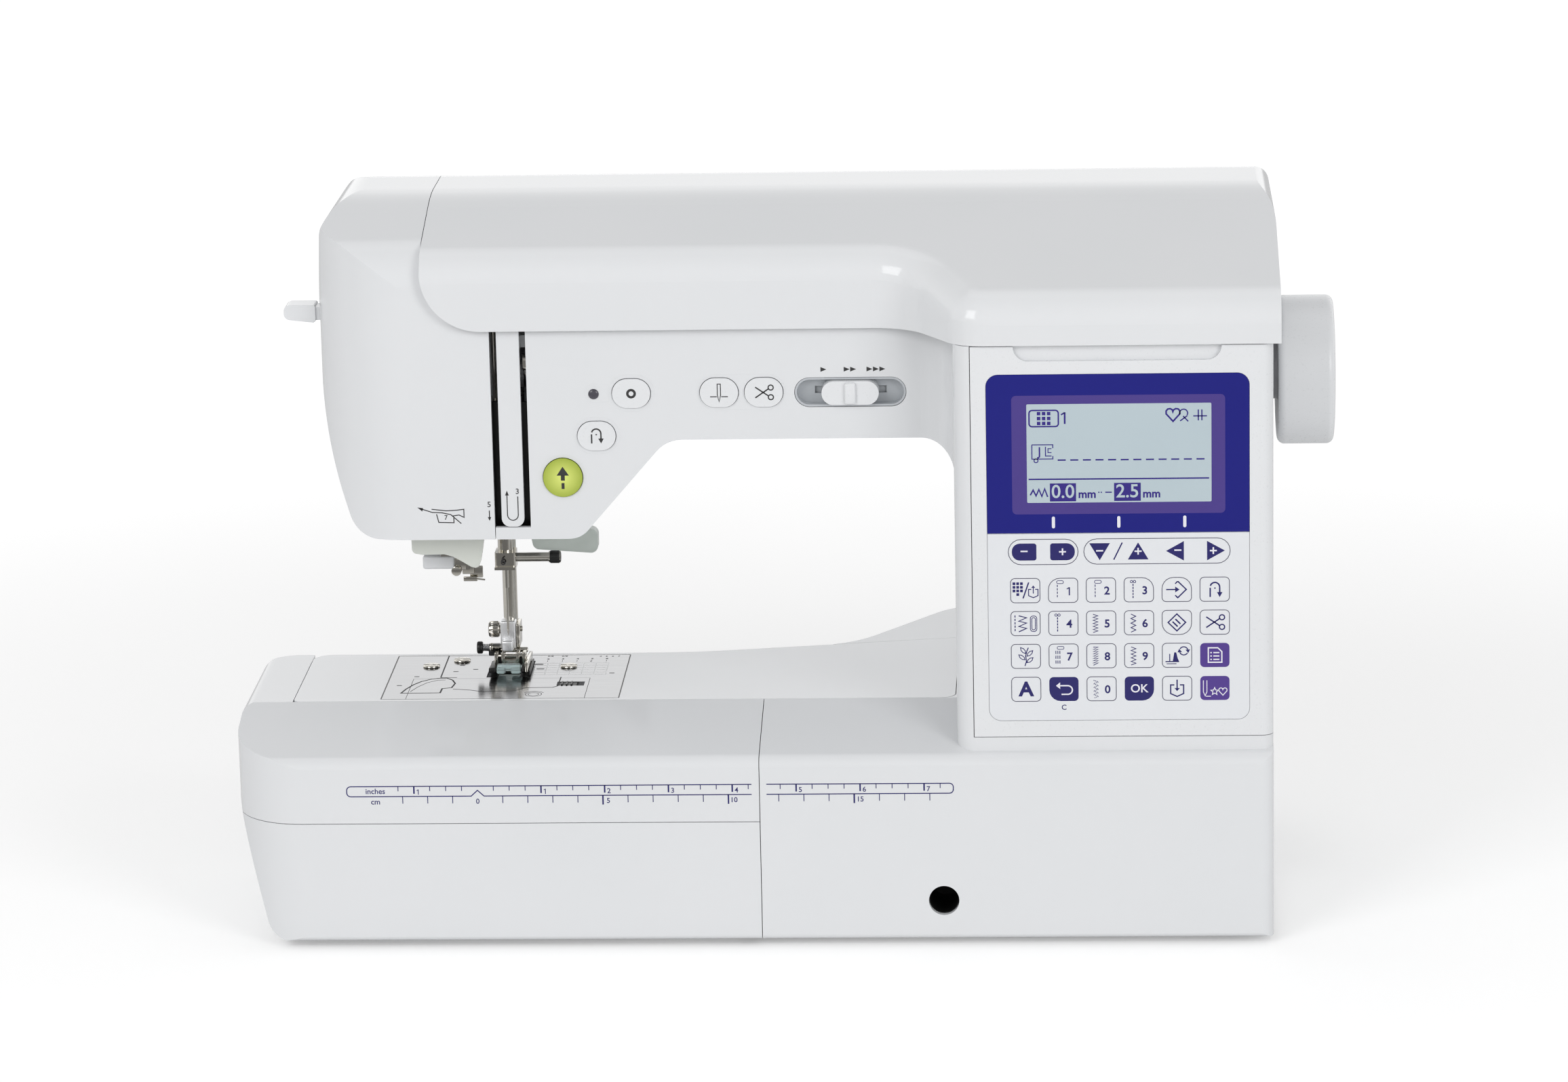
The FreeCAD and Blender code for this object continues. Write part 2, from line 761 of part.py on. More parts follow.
def slider_bezel():
    """Grey dish of the speed slider, set in the arm front, with a slit for the slider's stem."""
    x, z = slider_place()
    dish = pill(x, z, slider_width - 0.4, slider_height - 0.4, arm_front + 0.3, bezel_back)
    flange = pill(x, z, slider_width + 5, slider_height + 5, flange_y, flange_y + 1)
    inside = 2 * bezel_wall + 0.4
    room = pill(x, z, slider_width - inside, slider_height - inside, arm_front, bezel_back - bezel_floor)
    slit = box(x - knob_travel - 4.5, x + knob_travel + 4.5, arm_front, bezel_back + 1, z - 1.5, z + 1.5)
    return joined([dish, flange]).cut(room).cut(slit)


def speed_slider():
    """Speed knob in its dish, with a stem through the slit."""
    x, z = slider_place()
    height = slider_height - 2 * bezel_wall - 1.0
    knob = pill(x, z, knob_width, height, arm_front - 2.5, bezel_back - bezel_floor - clearance)
    stem = box(x - 4, x + 4, bezel_back - bezel_floor - 1, arm_board_y - 0.2, z - 1.2, z + 1.2)
    return joined([knob, stem])


def thread_guide_strip():
    """Tongue between the two threading slots, with a tab back under the top deck."""
    left = left_slot + slot_width / 2
    right = right_slot - slot_width / 2
    low = thread_slot_low - 4 + seam
    tongue = prism("xz",
                   [(left, low, 3.5), (right, low, 3.5), (right, lid_low - 0.2), (left, lid_low - 0.2)],
                   arm_front, arm_front + wall)
    tab_top = deck_low - clearance
    tab = box(left, right, arm_front + 1, arm_front + 12, tab_top - 5, tab_top)
    arm = box(left, deck_left + 12, arm_front + 7, arm_front + 12, tab_top - 5, tab_top)
    return joined([tongue, tab, arm])


# Needle plate, hook and feed


hook_low = bed_height - 27.0
hook_top = hook_low + hook_height
case_wall = 1.2
feed_top = bed_height
feed_low = bed_height - 5.5
feed_rows = (-7.0, 7.0)
feed_row_width = 3.4
feed_row_length = 26.0
bobbin_cover_right = bobbin_cover_left + bobbin_cover_width
bobbin_cover_rear = plate_front + bobbin_cover_depth
plate_fit = 0.2
latch_travel = 3.0
latch_x = bobbin_cover_right - 9.0
latch_y = bobbin_cover_rear - 9.0
plate_low = bed_height - plate_thickness


def screw_places():
    """Centres of the needle plate screws."""
    return [(plate_left + 15.5, plate_rear - 17.2), (plate_left + 27.6, plate_rear - 8.5),
            (plate_right - 24.5, plate_rear - 18.8)]


def needle_plate():
    """Steel plate with the needle slot, the feed slots and the bay for the bobbin cover."""
    plate = box(plate_left, plate_right, plate_front, plate_rear, plate_low, bed_height)
    plate = plate.cut(box(bobbin_cover_left, bobbin_cover_right, plate_front - 1, bobbin_cover_rear, 0,
                          bed_height + 1))
    plate = plate.cut(pill_hole(needle_x, needle_y, 9.0, 2.6))
    for row in feed_rows:
        plate = plate.cut(box(needle_x + row - feed_row_width / 2 - 0.5,
                              needle_x + row + feed_row_width / 2 + 0.5,
                              needle_y - 6, needle_y - 6 + feed_row_length, 0, bed_height + 1))
    for x, y in screw_places():
        plate = plate.cut(rod_z(3.35, bed_height - 1.3, bed_height + 1, x, y)).cut(rod_z(1.7, 0,
                                                                                         bed_height, x,
                                                                                         y))
    return plate


def pill_hole(x, y, length, width):
    """Upright stadium bar for a slot across the plate."""
    radius = width / 2 - 0.001
    half = length / 2
    tall = width / 2
    return prism("xy",
                 [(x - half, y - tall, radius), (x + half, y - tall, radius),
                  (x + half, y + tall, radius),
                        (x - half, y + tall, radius)], plate_low - 1, bed_height + 1)


def plate_screws():
    """Three slotted screws, flush with the plate."""
    screws = []
    for x, y in screw_places():
        screw = joined([rod_z(3.2, bed_height - 1.3, bed_height + 0.2, x, y),
                        rod_z(1.6, bed_height - 6, bed_height - 1, x, y)])
        screws.append(screw.cut(box(x - 4, x + 4, y - 0.4, y + 0.4, bed_height - 0.4, bed_height + 1)))
    return Part.makeCompound(screws)


def bobbin_cover():
    """Cover plate over the bobbin, with the bay for its latch."""
    cover = box(bobbin_cover_left + plate_fit, bobbin_cover_right - plate_fit, plate_front,
                bobbin_cover_rear - plate_fit,
                plate_low, bed_height)
    return cover.cut(box(latch_x - 4.2, latch_x + 4.2 + latch_travel, latch_y - 3.2, latch_y + 3.2,
                         plate_low + 0.6, bed_height + 1))


def bobbin_cover_latch():
    """Sliding latch with finger ribs."""
    latch = box(latch_x - 4, latch_x + 4, latch_y - 3, latch_y + 3, plate_low + 0.7, bed_height - 0.2)
    ribs = [box(latch_x + step, latch_x + step + 0.7, latch_y - 2.5, latch_y + 2.5, bed_height - 0.4,
                bed_height + 0.4)
            for step in (-2.4, -0.4, 1.6)]
    return joined([latch] + ribs)


def feed_dog():
    """Two toothed rows on a carrier, with a leg down to its guide."""
    carrier = box(needle_x - 10, needle_x + 10, needle_y - 5, needle_y + 19, feed_low, feed_low + 2.8)
    carrier = carrier.cut(box(needle_x - 4, needle_x + 4, needle_y - 6, needle_y + 8, 0, bed_height))
    pieces = [carrier]
    pitch = 2.0
    for row in feed_rows:
        left = needle_x + row - feed_row_width / 2
        start = needle_y - 5
        pieces.append(box(left, left + feed_row_width, start, start + feed_row_length - 3, feed_low + 2,
                          feed_top - 0.9))
        for tooth in range(int((feed_row_length - 3) / pitch)):
            y = start + tooth * pitch
            profile = [(y, feed_top - 1), (y + pitch - 0.4, feed_top - 1), (y + pitch - 0.4, feed_top)]
            pieces.append(prism("yz", profile, left, left + feed_row_width))
    leg_y = needle_y + 21
    pieces.append(box(needle_x - 5, needle_x + 5, needle_y + 15, leg_y + 4, feed_low, feed_low + 2.8))
    pieces.append(box(needle_x - 5, needle_x + 5, leg_y, leg_y + 4, lower_shaft_height, feed_low + 2.8))
    return joined(pieces)


def hook():
    """Open cup of the rotary hook on its upright shaft, with its small gear."""
    cup = rod_z(hook_radius, hook_low, hook_top, hook_x, hook_y)
    cup = cup.cut(rod_z(hook_radius - 2, hook_low + 2, hook_top + 1, hook_x, hook_y))
    notch = box(hook_x - 1, hook_x + 9, hook_y + hook_radius - 6, hook_y + hook_radius + 1, hook_low + 7,
                hook_top + 1)
    stem = rod_z(4.0, frame_low + 1, hook_low + 1, hook_x, hook_y)
    gear = toothed(hook_gear_radius, gear_teeth)
    gear_low = lower_shaft_height - 5
    gear = gear.extrude(vector(0, 0, 10))
    gear.translate(vector(hook_x, hook_y, gear_low))
    return joined([cup.cut(notch), stem, gear])


def toothed(radius, teeth):
    """Flat face of a toothed wheel about the Z axis."""
    points = []
    for tooth in range(teeth):
        for share, reach in ((0.0, radius - 1.6), (0.35, radius - 1.6), (0.5, radius), (0.85, radius)):
            angle = 2 * math.pi * (tooth + share) / teeth
            points.append(vector(reach * math.cos(angle), reach * math.sin(angle), 0))
    return Part.Face(Part.makePolygon(points + [points[0]]))


def bobbin_case():
    """Drop-in case that sits in the hook with its rim."""
    outer = hook_radius - 2 - clearance
    low = hook_low + 2 + clearance
    case = rod_z(outer, low, hook_top + 1, hook_x, hook_y)
    case = case.cut(rod_z(bobbin_radius + 1.5, low + case_wall, hook_top + 2, hook_x, hook_y))
    return case.cut(rod_z(2.0, low - 1, hook_top, hook_x, hook_y))


def bobbin():
    """Clear bobbin with two flanges and a hollow hub."""
    low = hook_low + 2 + 2 * clearance + case_wall
    top = low + bobbin_height
    pieces = [rod_z(bobbin_radius, low, low + 1.2, hook_x, hook_y),
              rod_z(bobbin_radius, top - 1.2, top, hook_x, hook_y),
              rod_z(4.5, low, top, hook_x, hook_y)]
    return joined(pieces).cut(rod_z(3.0, low - 1, top + 1, hook_x, hook_y))


# Frame and drive


frame_top = frame_low + frame_floor
bush_wall = 3.0
bush_radius = shaft_radius + bush_wall
lower_bush_radius = lower_shaft_radius + 2.5
lower_gear_radius = hook_gear_radius * hook_gear_ratio
lug_low = head_bottom + 3.0
lug_top = lug_low + 5.5
upper_lug_low = deck_low
upper_lug_top = upper_lug_low + 5.2
rod_left = needle_x + 5.5
rod_thickness = 2.0
crank_left = rod_left + rod_thickness + clearance
crank_thickness = 4.0
crank_pin_radius = 2.5
crank_pin_z = shaft_z + crank_radius
take_up_y = shaft_y - 16.0
take_up_z = shaft_z + 8.0
take_up_stud = 3.0
presser_pivot_x = needle_x + 7.5
presser_pivot_z = (lug_low + lug_top) / 2
presser_stud = 2.5
threader_radius = 2.0
lower_bearing_x = hook_x + 12.0
bearing_width = 10.0
motor_bracket = motor_belt_x - 4.0
motor_shaft_radius = 3.0
post_radius = 5.0


def bearing_block(x, y, half, low, high, back):
    """Upright block round a shaft, reaching back to the frame."""
    return box(x, x + bearing_width, y - half, back, low, high)


def main_frame():
    """Cast frame: free arm floor, column post, arm beam and the head plate with its lugs."""
    right = base_right - 9.0
    back = frame_y + frame_thickness
    pieces = [box(free_arm_left + 20, right, band_depth + 6, free_arm_rear - 6, frame_low, frame_top),
              box(column_left + 6, right, band_depth + 6, back, frame_low, frame_top),
              box(post_left, post_left + post_width, frame_y, back, frame_low, shaft_z + 20),
              box(head_plate_left, right, frame_y, back, shaft_z - 12, shaft_z + 20)]
    plate = box(head_plate_left, head_plate_left + head_plate_width, take_up_y - 10, back, lug_low,
                deck_low - 1)
    plate = plate.cut(box(0, machine_width, frame_y - 8, back + 1, 0, head_bottom + 32))
    pieces.append(plate)
    pieces.append(box(head_plate_left, head_plate_left + head_plate_width, needle_y - 10, presser_y + 7,
                      lug_low, upper_lug_top))
    pieces.append(box(threader_x - 6, head_plate_left + 1, threader_y - 6, presser_y + 7, lug_low,
                      lug_top))
    pieces.append(box(needle_x - 7, head_plate_left + 1, needle_y - 8, presser_y + 7, upper_lug_low,
                      upper_lug_top))
    pieces.append(bearing_block(right_bearing, shaft_y, 14, shaft_z - 12, shaft_z + 14,
                                frame_y + 1))
    for x in (lower_bearing_x, right_bearing):
        pieces.append(bearing_block(x, lower_shaft_y, 9, frame_low,
                                    lower_shaft_height + 9, lower_shaft_y + 9))
    pieces.append(rod_z(8.0, frame_low, lower_shaft_height - 5 - clearance, hook_x, hook_y))
    for side in (-1, 1):
        guide = needle_x + side * (5 + clearance)
        pieces.append(box(min(guide, guide + side * 4), max(guide, guide + side * 4), needle_y + 20,
                          needle_y + 26, frame_low, 72))
    pieces.append(box(motor_bracket - 4, motor_bracket, frame_y, motor_y + 24, frame_low, motor_z + 24))
    pieces.append(rod_x(take_up_stud, right_slot - 1.6, head_plate_left + 1, take_up_y, take_up_z))
    pieces.append(rod_y(presser_stud, presser_y + 6, back - 3, presser_pivot_x, presser_pivot_z))
    frame = joined(pieces)
    cuts = [rod_x(bush_radius, head_plate_left - 1, head_plate_left + head_plate_width + 1, shaft_y,
                  shaft_z),
            rod_x(bush_radius, right_bearing - 1, right_bearing + bearing_width + 1, shaft_y, shaft_z),
            rod_z(needle_bar_radius + running_fit, lug_low - 1, upper_lug_top + 1, needle_x, needle_y),
            rod_z(presser_bar_radius + running_fit, lug_low - 1, upper_lug_top + 1, needle_x, presser_y),
            rod_z(threader_radius + running_fit, lug_low - 1, lug_top + 1, threader_x, threader_y),
            rod_z(4.0 + running_fit, frame_low - 1, lower_shaft_height, hook_x, hook_y),
            box(hook_x - 6, hook_x + 6, lower_shaft_y - 16, lower_shaft_y + 16, frame_low - 1,
                frame_top + 1),
            box(timing_belt_x - 1, timing_belt_x + belt_width + 1, lower_shaft_y - 18, lower_shaft_y + 18,
                frame_low - 1, frame_top + 1),
            rod_x(motor_shaft_radius + 0.5, motor_bracket - 5, motor_bracket + 1, motor_y, motor_z)]
    for x in (lower_bearing_x, right_bearing):
        cuts.append(rod_x(lower_bush_radius, x - 1, x + bearing_width + 1, lower_shaft_y,
                          lower_shaft_height))
    for cut in cuts:
        frame = frame.cut(cut)
    return frame.removeSplitter()


def bush(outer, inner, x, width, y, z):
    """Plain bearing sleeve along X."""
    return rod_x(outer, x, x + width, y, z).cut(rod_x(inner + running_fit, x - 1, x + width + 1, y, z))


def shaft_bushes():
    """Sleeves of the upper and lower shafts."""
    sleeves = [bush(bush_radius, shaft_radius, head_plate_left, head_plate_width, shaft_y, shaft_z),
               bush(bush_radius, shaft_radius, right_bearing, bearing_width, shaft_y, shaft_z)]
    for x in (lower_bearing_x, right_bearing):
        sleeves.append(bush(lower_bush_radius, lower_shaft_radius, x, bearing_width, lower_shaft_y,
                            lower_shaft_height))
    return Part.makeCompound(sleeves)


def grooved_pulley(radius, x, y, z, bore):
    """Belt pulley with two thin flanges."""
    body = rod_x(radius, x, x + belt_width, y, z)
    rims = [rod_x(radius + 1.0, x - 1, x, y, z),
            rod_x(radius + 1.0, x + belt_width, x + belt_width + 1, y, z)]
    return joined([body] + rims).cut(rod_x(bore, x - 2, x + belt_width + 2, y, z))


def upper_shaft():
    """Main shaft from the needle crank to the handwheel, with its driven pulley and timing pulley."""
    rod = rod_x(shaft_radius, crank_left + crank_thickness / 2, machine_width - 4, shaft_y, shaft_z)
    driven = grooved_pulley(drive_pulley_radius, motor_belt_x, shaft_y, shaft_z, 1.0)
    timing = grooved_pulley(timing_pulley_radius, timing_belt_x, shaft_y, shaft_z, 1.0)
    return joined([rod, driven, timing])


def handwheel():
    """Round-edged handwheel with a hub through the side of the column."""
    left = base_right + wheel_gap
    wheel = rod_x(wheel_radius, left, machine_width, shaft_y, shaft_z)
    wheel = rounded_edges(wheel, 3.0,
                          lambda span: span.YLength > 2 * wheel_radius - 1 and span.XLength < 0.1)
    hub = rod_x(12.0, base_right - 8, left + 1, shaft_y, shaft_z)
    return joined([wheel, hub]).cut(rod_x(shaft_radius, base_right - 9, machine_width - 4, shaft_y,
                                          shaft_z))


def needle_crank():
    """Counterweighted crank disc with the crank pin."""
    disc = rod_x(crank_radius + 4.5, crank_left, crank_left + crank_thickness, shaft_y, shaft_z)
    pin = rod_x(crank_pin_radius, rod_left - 0.1, crank_left + 1, shaft_y, crank_pin_z)
    bore = rod_x(shaft_radius, crank_left + crank_thickness / 2, crank_left + crank_thickness + 1,
                 shaft_y, shaft_z)
    return joined([disc, pin]).cut(bore)


def connecting_rod():
    """Link from the crank pin down towards the needle bar."""
    right = rod_left + rod_thickness
    low = crank_pin_z - rod_length
    link = joined([rod_x(5.0, rod_left, right, shaft_y, crank_pin_z),
                   rod_x(5.0, rod_left, right, shaft_y, low),
                   box(rod_left, right, shaft_y - 3.5, shaft_y + 3.5, low, crank_pin_z)])
    link = link.cut(rod_x(crank_pin_radius + running_fit, rod_left - 1, right + 1, shaft_y, crank_pin_z))
    return link.cut(rod_x(crank_pin_radius + running_fit, rod_left - 1, right + 1, shaft_y, low))


def take_up_lever():
    """Thread take-up lever in the right threading slot."""
    left = right_slot - 0.9
    right = right_slot + 0.9
    tip = arm_front + 8
    profile = [(take_up_y - 2, take_up_z - 5), (tip, take_up_z + 3, 2), (tip, take_up_z + 9, 2),
               (take_up_y, take_up_z + 6)]
    lever = joined([rod_x(6.0, left, right, take_up_y, take_up_z), prism("yz", profile, left, right)])
    lever = lever.cut(rod_x(take_up_stud + running_fit, left - 1, right + 1, take_up_y, take_up_z))
    return lever.cut(rod_x(1.2, left - 1, right + 1, tip + 3.5, take_up_z + 6))


def motor():
    """Motor can on the frame bracket."""
    right = motor_bracket - 4
    can = rod_x(motor_radius, right - motor_length, right, motor_y, motor_z)
    boss = rod_x(8.0, right - motor_length - 5, right - motor_length + 1, motor_y, motor_z)
    return joined([can, boss])


def motor_pulley():
    """Small pulley on the motor shaft."""
    pulley = grooved_pulley(motor_pulley_radius, motor_belt_x, motor_y, motor_z, motor_shaft_radius / 2)
    return joined([pulley,
                   rod_x(motor_shaft_radius, motor_bracket - 4 + clearance, motor_belt_x + belt_width,
                         motor_y, motor_z)])


def belt_hull(x, first, second, grow):
    """Solid round two pulleys, given as (y, z, radius), with straight tangent sides."""
    y1, z1, r1 = first[0], first[1], first[2] + grow
    y2, z2, r2 = second[0], second[1], second[2] + grow
    span = math.hypot(y2 - y1, z2 - z1)
    heading = math.atan2(z2 - z1, y2 - y1)
    lean = math.acos((r1 - r2) / span)
    corners = []
    for y, z, radius, side in ((y1, z1, r1, 1), (y2, z2, r2, 1), (y2, z2, r2, -1), (y1, z1, r1, -1)):
        corners.append((y + radius * math.cos(heading + side * lean),
                        z + radius * math.sin(heading + side * lean)))
    quad = prism("yz", corners, x, x + belt_width)
    return joined([quad, rod_x(r1, x, x + belt_width, y1, z1), rod_x(r2, x, x + belt_width, y2, z2)])


def belt(x, first, second):
    """Flat belt round two pulleys, a hair off their faces."""
    inside = 0.2
    ring = belt_hull(x, first, second, inside + belt_thickness).cut(belt_hull(x, first, second, inside))
    return ring.common(box(x + 0.2, x + belt_width - 0.2, 0, machine_depth, 0, machine_height))


def drive_belts():
    """Motor belt to the driven pulley, and timing belt between the two shafts."""
    motor_side = belt(motor_belt_x, (shaft_y, shaft_z, drive_pulley_radius),
                      (motor_y, motor_z, motor_pulley_radius))
    timing_side = belt(timing_belt_x, (shaft_y, shaft_z, timing_pulley_radius),
                       (lower_shaft_y, lower_shaft_height, timing_pulley_radius))
    return Part.makeCompound([motor_side, timing_side])


def lower_shaft():
    """Shaft through the free arm, with its hook gear and timing pulley."""
    rod = rod_x(lower_shaft_radius, hook_x - 8, right_bearing + bearing_width + 2, lower_shaft_y,
                lower_shaft_height)
    gear = toothed(lower_gear_radius, int(gear_teeth * hook_gear_ratio)).extrude(vector(0, 0, 10))
    gear.rotate(vector(0, 0, 0), vector(0, 1, 0), 90)
    gear.translate(vector(hook_x - 5, lower_shaft_y, lower_shaft_height))
    pulley = grooved_pulley(timing_pulley_radius, timing_belt_x, lower_shaft_y, lower_shaft_height, 1.0)
    return joined([rod, gear, pulley])


# Needle and presser


clamp_low = needle_tip + 29.8
clamp_height = 7.0
clamp_screw = 18.4
clamp_knob = 4.8
bar_top = upper_lug_top + needle_stroke + 0.6
collar_z = crank_pin_z - rod_length
holder_low = bed_height + 12.0


def needle_bar():
    """Needle bar with the collar that the connecting rod drives."""
    bar = rod_z(needle_bar_radius, clamp_low + 0.5, bar_top, needle_x, needle_y)
    return joined([bar,
                   box(needle_x - 4.5, rod_left - clearance, needle_y - 5, needle_y + 5, collar_z - 3.5,
                       collar_z + 3.5)])


def needle_clamp():
    """Clamp block at the foot of the needle bar, with its thread guide."""
    block = box(needle_x - 4.2, needle_x + 4.5, needle_y - 5, needle_y + 5, clamp_low,
                clamp_low + clamp_height)
    block = rounded_edges(block, 1.2, lambda span: span.ZLength > clamp_height - 1)
    guide = box(needle_x - 4.2, needle_x + 4.5, needle_y - 6.5, needle_y - 4.5, clamp_low,
                clamp_low + 1.2)
    block = joined([block, guide])
    return block.cut(rod_z(needle_bar_radius, clamp_low + 0.5, clamp_low + clamp_height + 1, needle_x,
                           needle_y))


def needle_clamp_screw():
    """Thumbscrew on the right of the clamp."""
    z = clamp_low + 4.0
    left = needle_x + 4.5
    right = left + clamp_screw
    return joined([rod_x(1.9, left, right - clamp_knob + 0.5, needle_y, z),
                   rod_x(2.4, right - clamp_knob, right, needle_y, z)])


def needle():
    """Needle with its thicker shank, blade and point."""
    shank = rod_z(0.95, clamp_low - 9, clamp_low, needle_x, needle_y)
    blade = rod_z(0.5, needle_tip + 3, clamp_low - 8.5, needle_x, needle_y)
    point = Part.makeCone(0.08, 0.5, 3.0, vector(needle_x, needle_y, needle_tip), vector(0, 0, 1))
    return joined([shank, blade, point])


def presser_bar():
    """Presser bar with the collar under its spring."""
    bar = rod_z(presser_bar_radius, holder_low + 3, upper_lug_top + 8, needle_x, presser_y)
    return joined([bar, rod_z(4.3, head_bottom + 24, head_bottom + 30, needle_x, presser_y)])


def foot_holder():
    """Shank that carries the presser foot."""
    block = box(needle_x - 4.2, needle_x + 4.5, presser_y - 5, presser_y + 5, holder_low, holder_low + 16)
    nose = box(needle_x - 4.2, needle_x + 4.5, needle_y + 6, presser_y, holder_low, holder_low + 5)
    block = joined([block, nose])
    return block.cut(rod_z(presser_bar_radius, holder_low + 3, holder_low + 17, needle_x, presser_y))


def foot_screw():
    """Knurled screw on the left of the shank."""
    z = holder_low + 9
    right = needle_x - 4.2
    return joined([rod_x(3.6, right - 5.5, right, presser_y, z),
                   rod_x(2.0, right - 7, right - 5, presser_y, z)])


def presser_foot():
    """Zigzag foot with upturned toes, a needle slot and the bracket to the shank."""
    sole_low = bed_height + clearance
    front = needle_y - foot_length / 2
    rear = needle_y + foot_length / 2
    profile = [(front, sole_low + 3.2), (front + 7, sole_low), (rear, sole_low), (rear, sole_low + 2),
               (front + 7.5, sole_low + 2), (front + 1, sole_low + 5)]
    half = foot_width / 2
    sole = prism("yz", profile, needle_x - half, needle_x + half)
    sole = sole.cut(box(needle_x - 1.7, needle_x + 1.7, front - 1, needle_y - 5, 0, bed_height + 10))
    sole = sole.cut(box(needle_x - 4.5, needle_x + 4.5, needle_y - 2.2, needle_y + 2.2, 0,
                        bed_height + 10))
    stand = box(needle_x - 6, needle_x + 6, needle_y + 6, needle_y + 12, sole_low + 1, holder_low)
    knob = rod_x(2.4, needle_x - half - 3, needle_x - 5, needle_y + 9, sole_low + 8)
    return joined([sole, stand, knob])


def presser_lever():
    """Lifting lever at the back of the head."""
    y0 = frame_y - 4.0
    y1 = frame_y + 2.0
    tip = presser_pivot_x + 28.2
    profile = [(presser_pivot_x - 4, presser_pivot_z - 2), (presser_pivot_x + 1, head_bottom - 24, 3),
               (tip, head_bottom - 26, 3), (tip, head_bottom - 15.6, 3),
               (presser_pivot_x + 14, head_bottom - 15, 3), (presser_pivot_x + 4, presser_pivot_z + 3)]
    lever = joined([rod_y(5.0, y0, y1, presser_pivot_x, presser_pivot_z), prism("xz", profile, y0, y1)])
    return lever.cut(rod_y(presser_stud + running_fit, y0 - 1, y1 + 1, presser_pivot_x, presser_pivot_z))


def threader_lever():
    """Finger lever at the left of the head that drives the needle threader."""
    y0 = threader_y - 4.0
    y1 = threader_y + 4.0
    high = lever_low + lever_thick
    arm = box(head_left - 3, threader_x + 5, y0, y1, lever_low + 1, high - 1)
    grip = prism("xz", [(head_left - 14.2, lever_low + 1.5, 2.5), (head_left - 1.2, lever_low, 1),
                        (head_left - 1.2, high, 1), (head_left - 14.2, high, 2.5)], y0 - 1, y1 + 1)
    return joined([arm, grip]).cut(rod_z(threader_radius, lever_low - 1, high + 1, threader_x,
                                         threader_y))


def needle_threader():
    """Threader rod with its hook bracket under the head."""
    low = head_bottom - 15.0
    rod = rod_z(threader_radius, low, lever_low + lever_thick, threader_x, threader_y)
    bracket = box(threader_x - 6, threader_x + 10, threader_y - 3, threader_y + 3, low, low + 5)
    tongue = box(threader_x + 4, threader_x + 5.5, threader_y - 2, threader_y + 5, low - 6, low + 1)
    return joined([rod, bracket, tongue])


def thread_guard():
    """White guard below the head, in front of the threader."""
    high = head_bottom - 0.1
    front = needle_y - 26.0
    corners = [(needle_x - 34.5, high), (needle_x - 34, high - 4.4, 2), (needle_x - 17, high - 4.6, 6),
               (needle_x - 13, high - 9.8, 3), (needle_x - 9, high - 9.8, 2), (needle_x - 5, high - 3.2, 3),
               (needle_x + 20, high - 3.2, 2), (needle_x + 22, high)]
    return prism("xz", corners, front, front + 2.4)


# Base, feet and sockets


pan_thickness = 2.6


def pan_posts():
    """Places of the posts between the base pan and the frame."""
    return [(extension_length + 26, band_depth + 22), (extension_length + 26, free_arm_rear - 14),
            (base_right - 26, band_depth + 22), (base_right - 26, frame_y - 6)]


def base_pan():
    """Bottom plate of the base with the posts that carry the frame."""
    pan = base_form(wall + clearance).common(box(0, machine_width, 0, machine_depth, floor,
                                                 floor + pan_thickness))
    posts = [rod_z(post_radius, floor, frame_low, x, y) for x, y in pan_posts()]
    return joined([pan] + posts)


def rubber_feet():
    """Four feet under the base."""
    inset = 20.0
    left = extension_length + inset
    right = base_right - inset
    spots = [(left, inset), (right, inset), (right, machine_depth - inset),
             (column_left + 12, machine_depth - inset)]
    return Part.makeCompound([rod_z(8.0, 0, floor, x, y) for x, y in spots])


def knee_lifter_socket():
    """Turning socket for the knee lifter bar."""
    tube = rod_y(knee_bore + knee_wall, wall + clearance, knee_depth, knee_x, knee_z)
    stop = rod_y(knee_bore + knee_wall + 2, knee_depth - 6 + clearance, knee_depth, knee_x, knee_z)
    return joined([tube, stop]).cut(rod_y(knee_bore, -1, knee_depth - 3, knee_x, knee_z))


def power_switch():
    """Rocker of the power switch."""
    right = base_right
    rocker = box(right - 4, right + 1.2, switch_y - rocker_width / 2, switch_y + rocker_width / 2,
                 socket_z - rocker_height / 2, socket_z + rocker_height / 2)
    rocker = rounded_edges(rocker, 1.0, lambda span: span.XMin > right + 1)
    hub = rod_y(rocker_hub, switch_y - rocker_width / 2, switch_y + rocker_width / 2, right - 3, socket_z)
    return rocker.fuse(hub).removeSplitter()


def side_sockets():
    """Two-pin mains inlet and round foot control jack in the side of the base."""
    fit = 0.1
    right = base_right
    body = box(right - 18, right + 0.6, inlet_y - inlet_width / 2 + fit, inlet_y + inlet_width / 2 - fit,
               socket_z - inlet_height / 2 + fit, socket_z + inlet_height / 2 - fit)
    room = box(right - 14, right + 1, inlet_y - 9.5, inlet_y + 9.5, socket_z - 5, socket_z + 5)
    pins = [rod_x(1.2, right - 15, right - 3, inlet_y + side * 4.3, socket_z) for side in (-1, 1)]
    jack = rod_x(jack_radius, right - 16, right + 0.6, jack_y, socket_z + 10)
    jack = jack.cut(rod_x(3.2, right - 13, right + 1, jack_y, socket_z + 10))
    return Part.makeCompound([joined([body.cut(room)] + pins), jack])


# Every piece under its own name


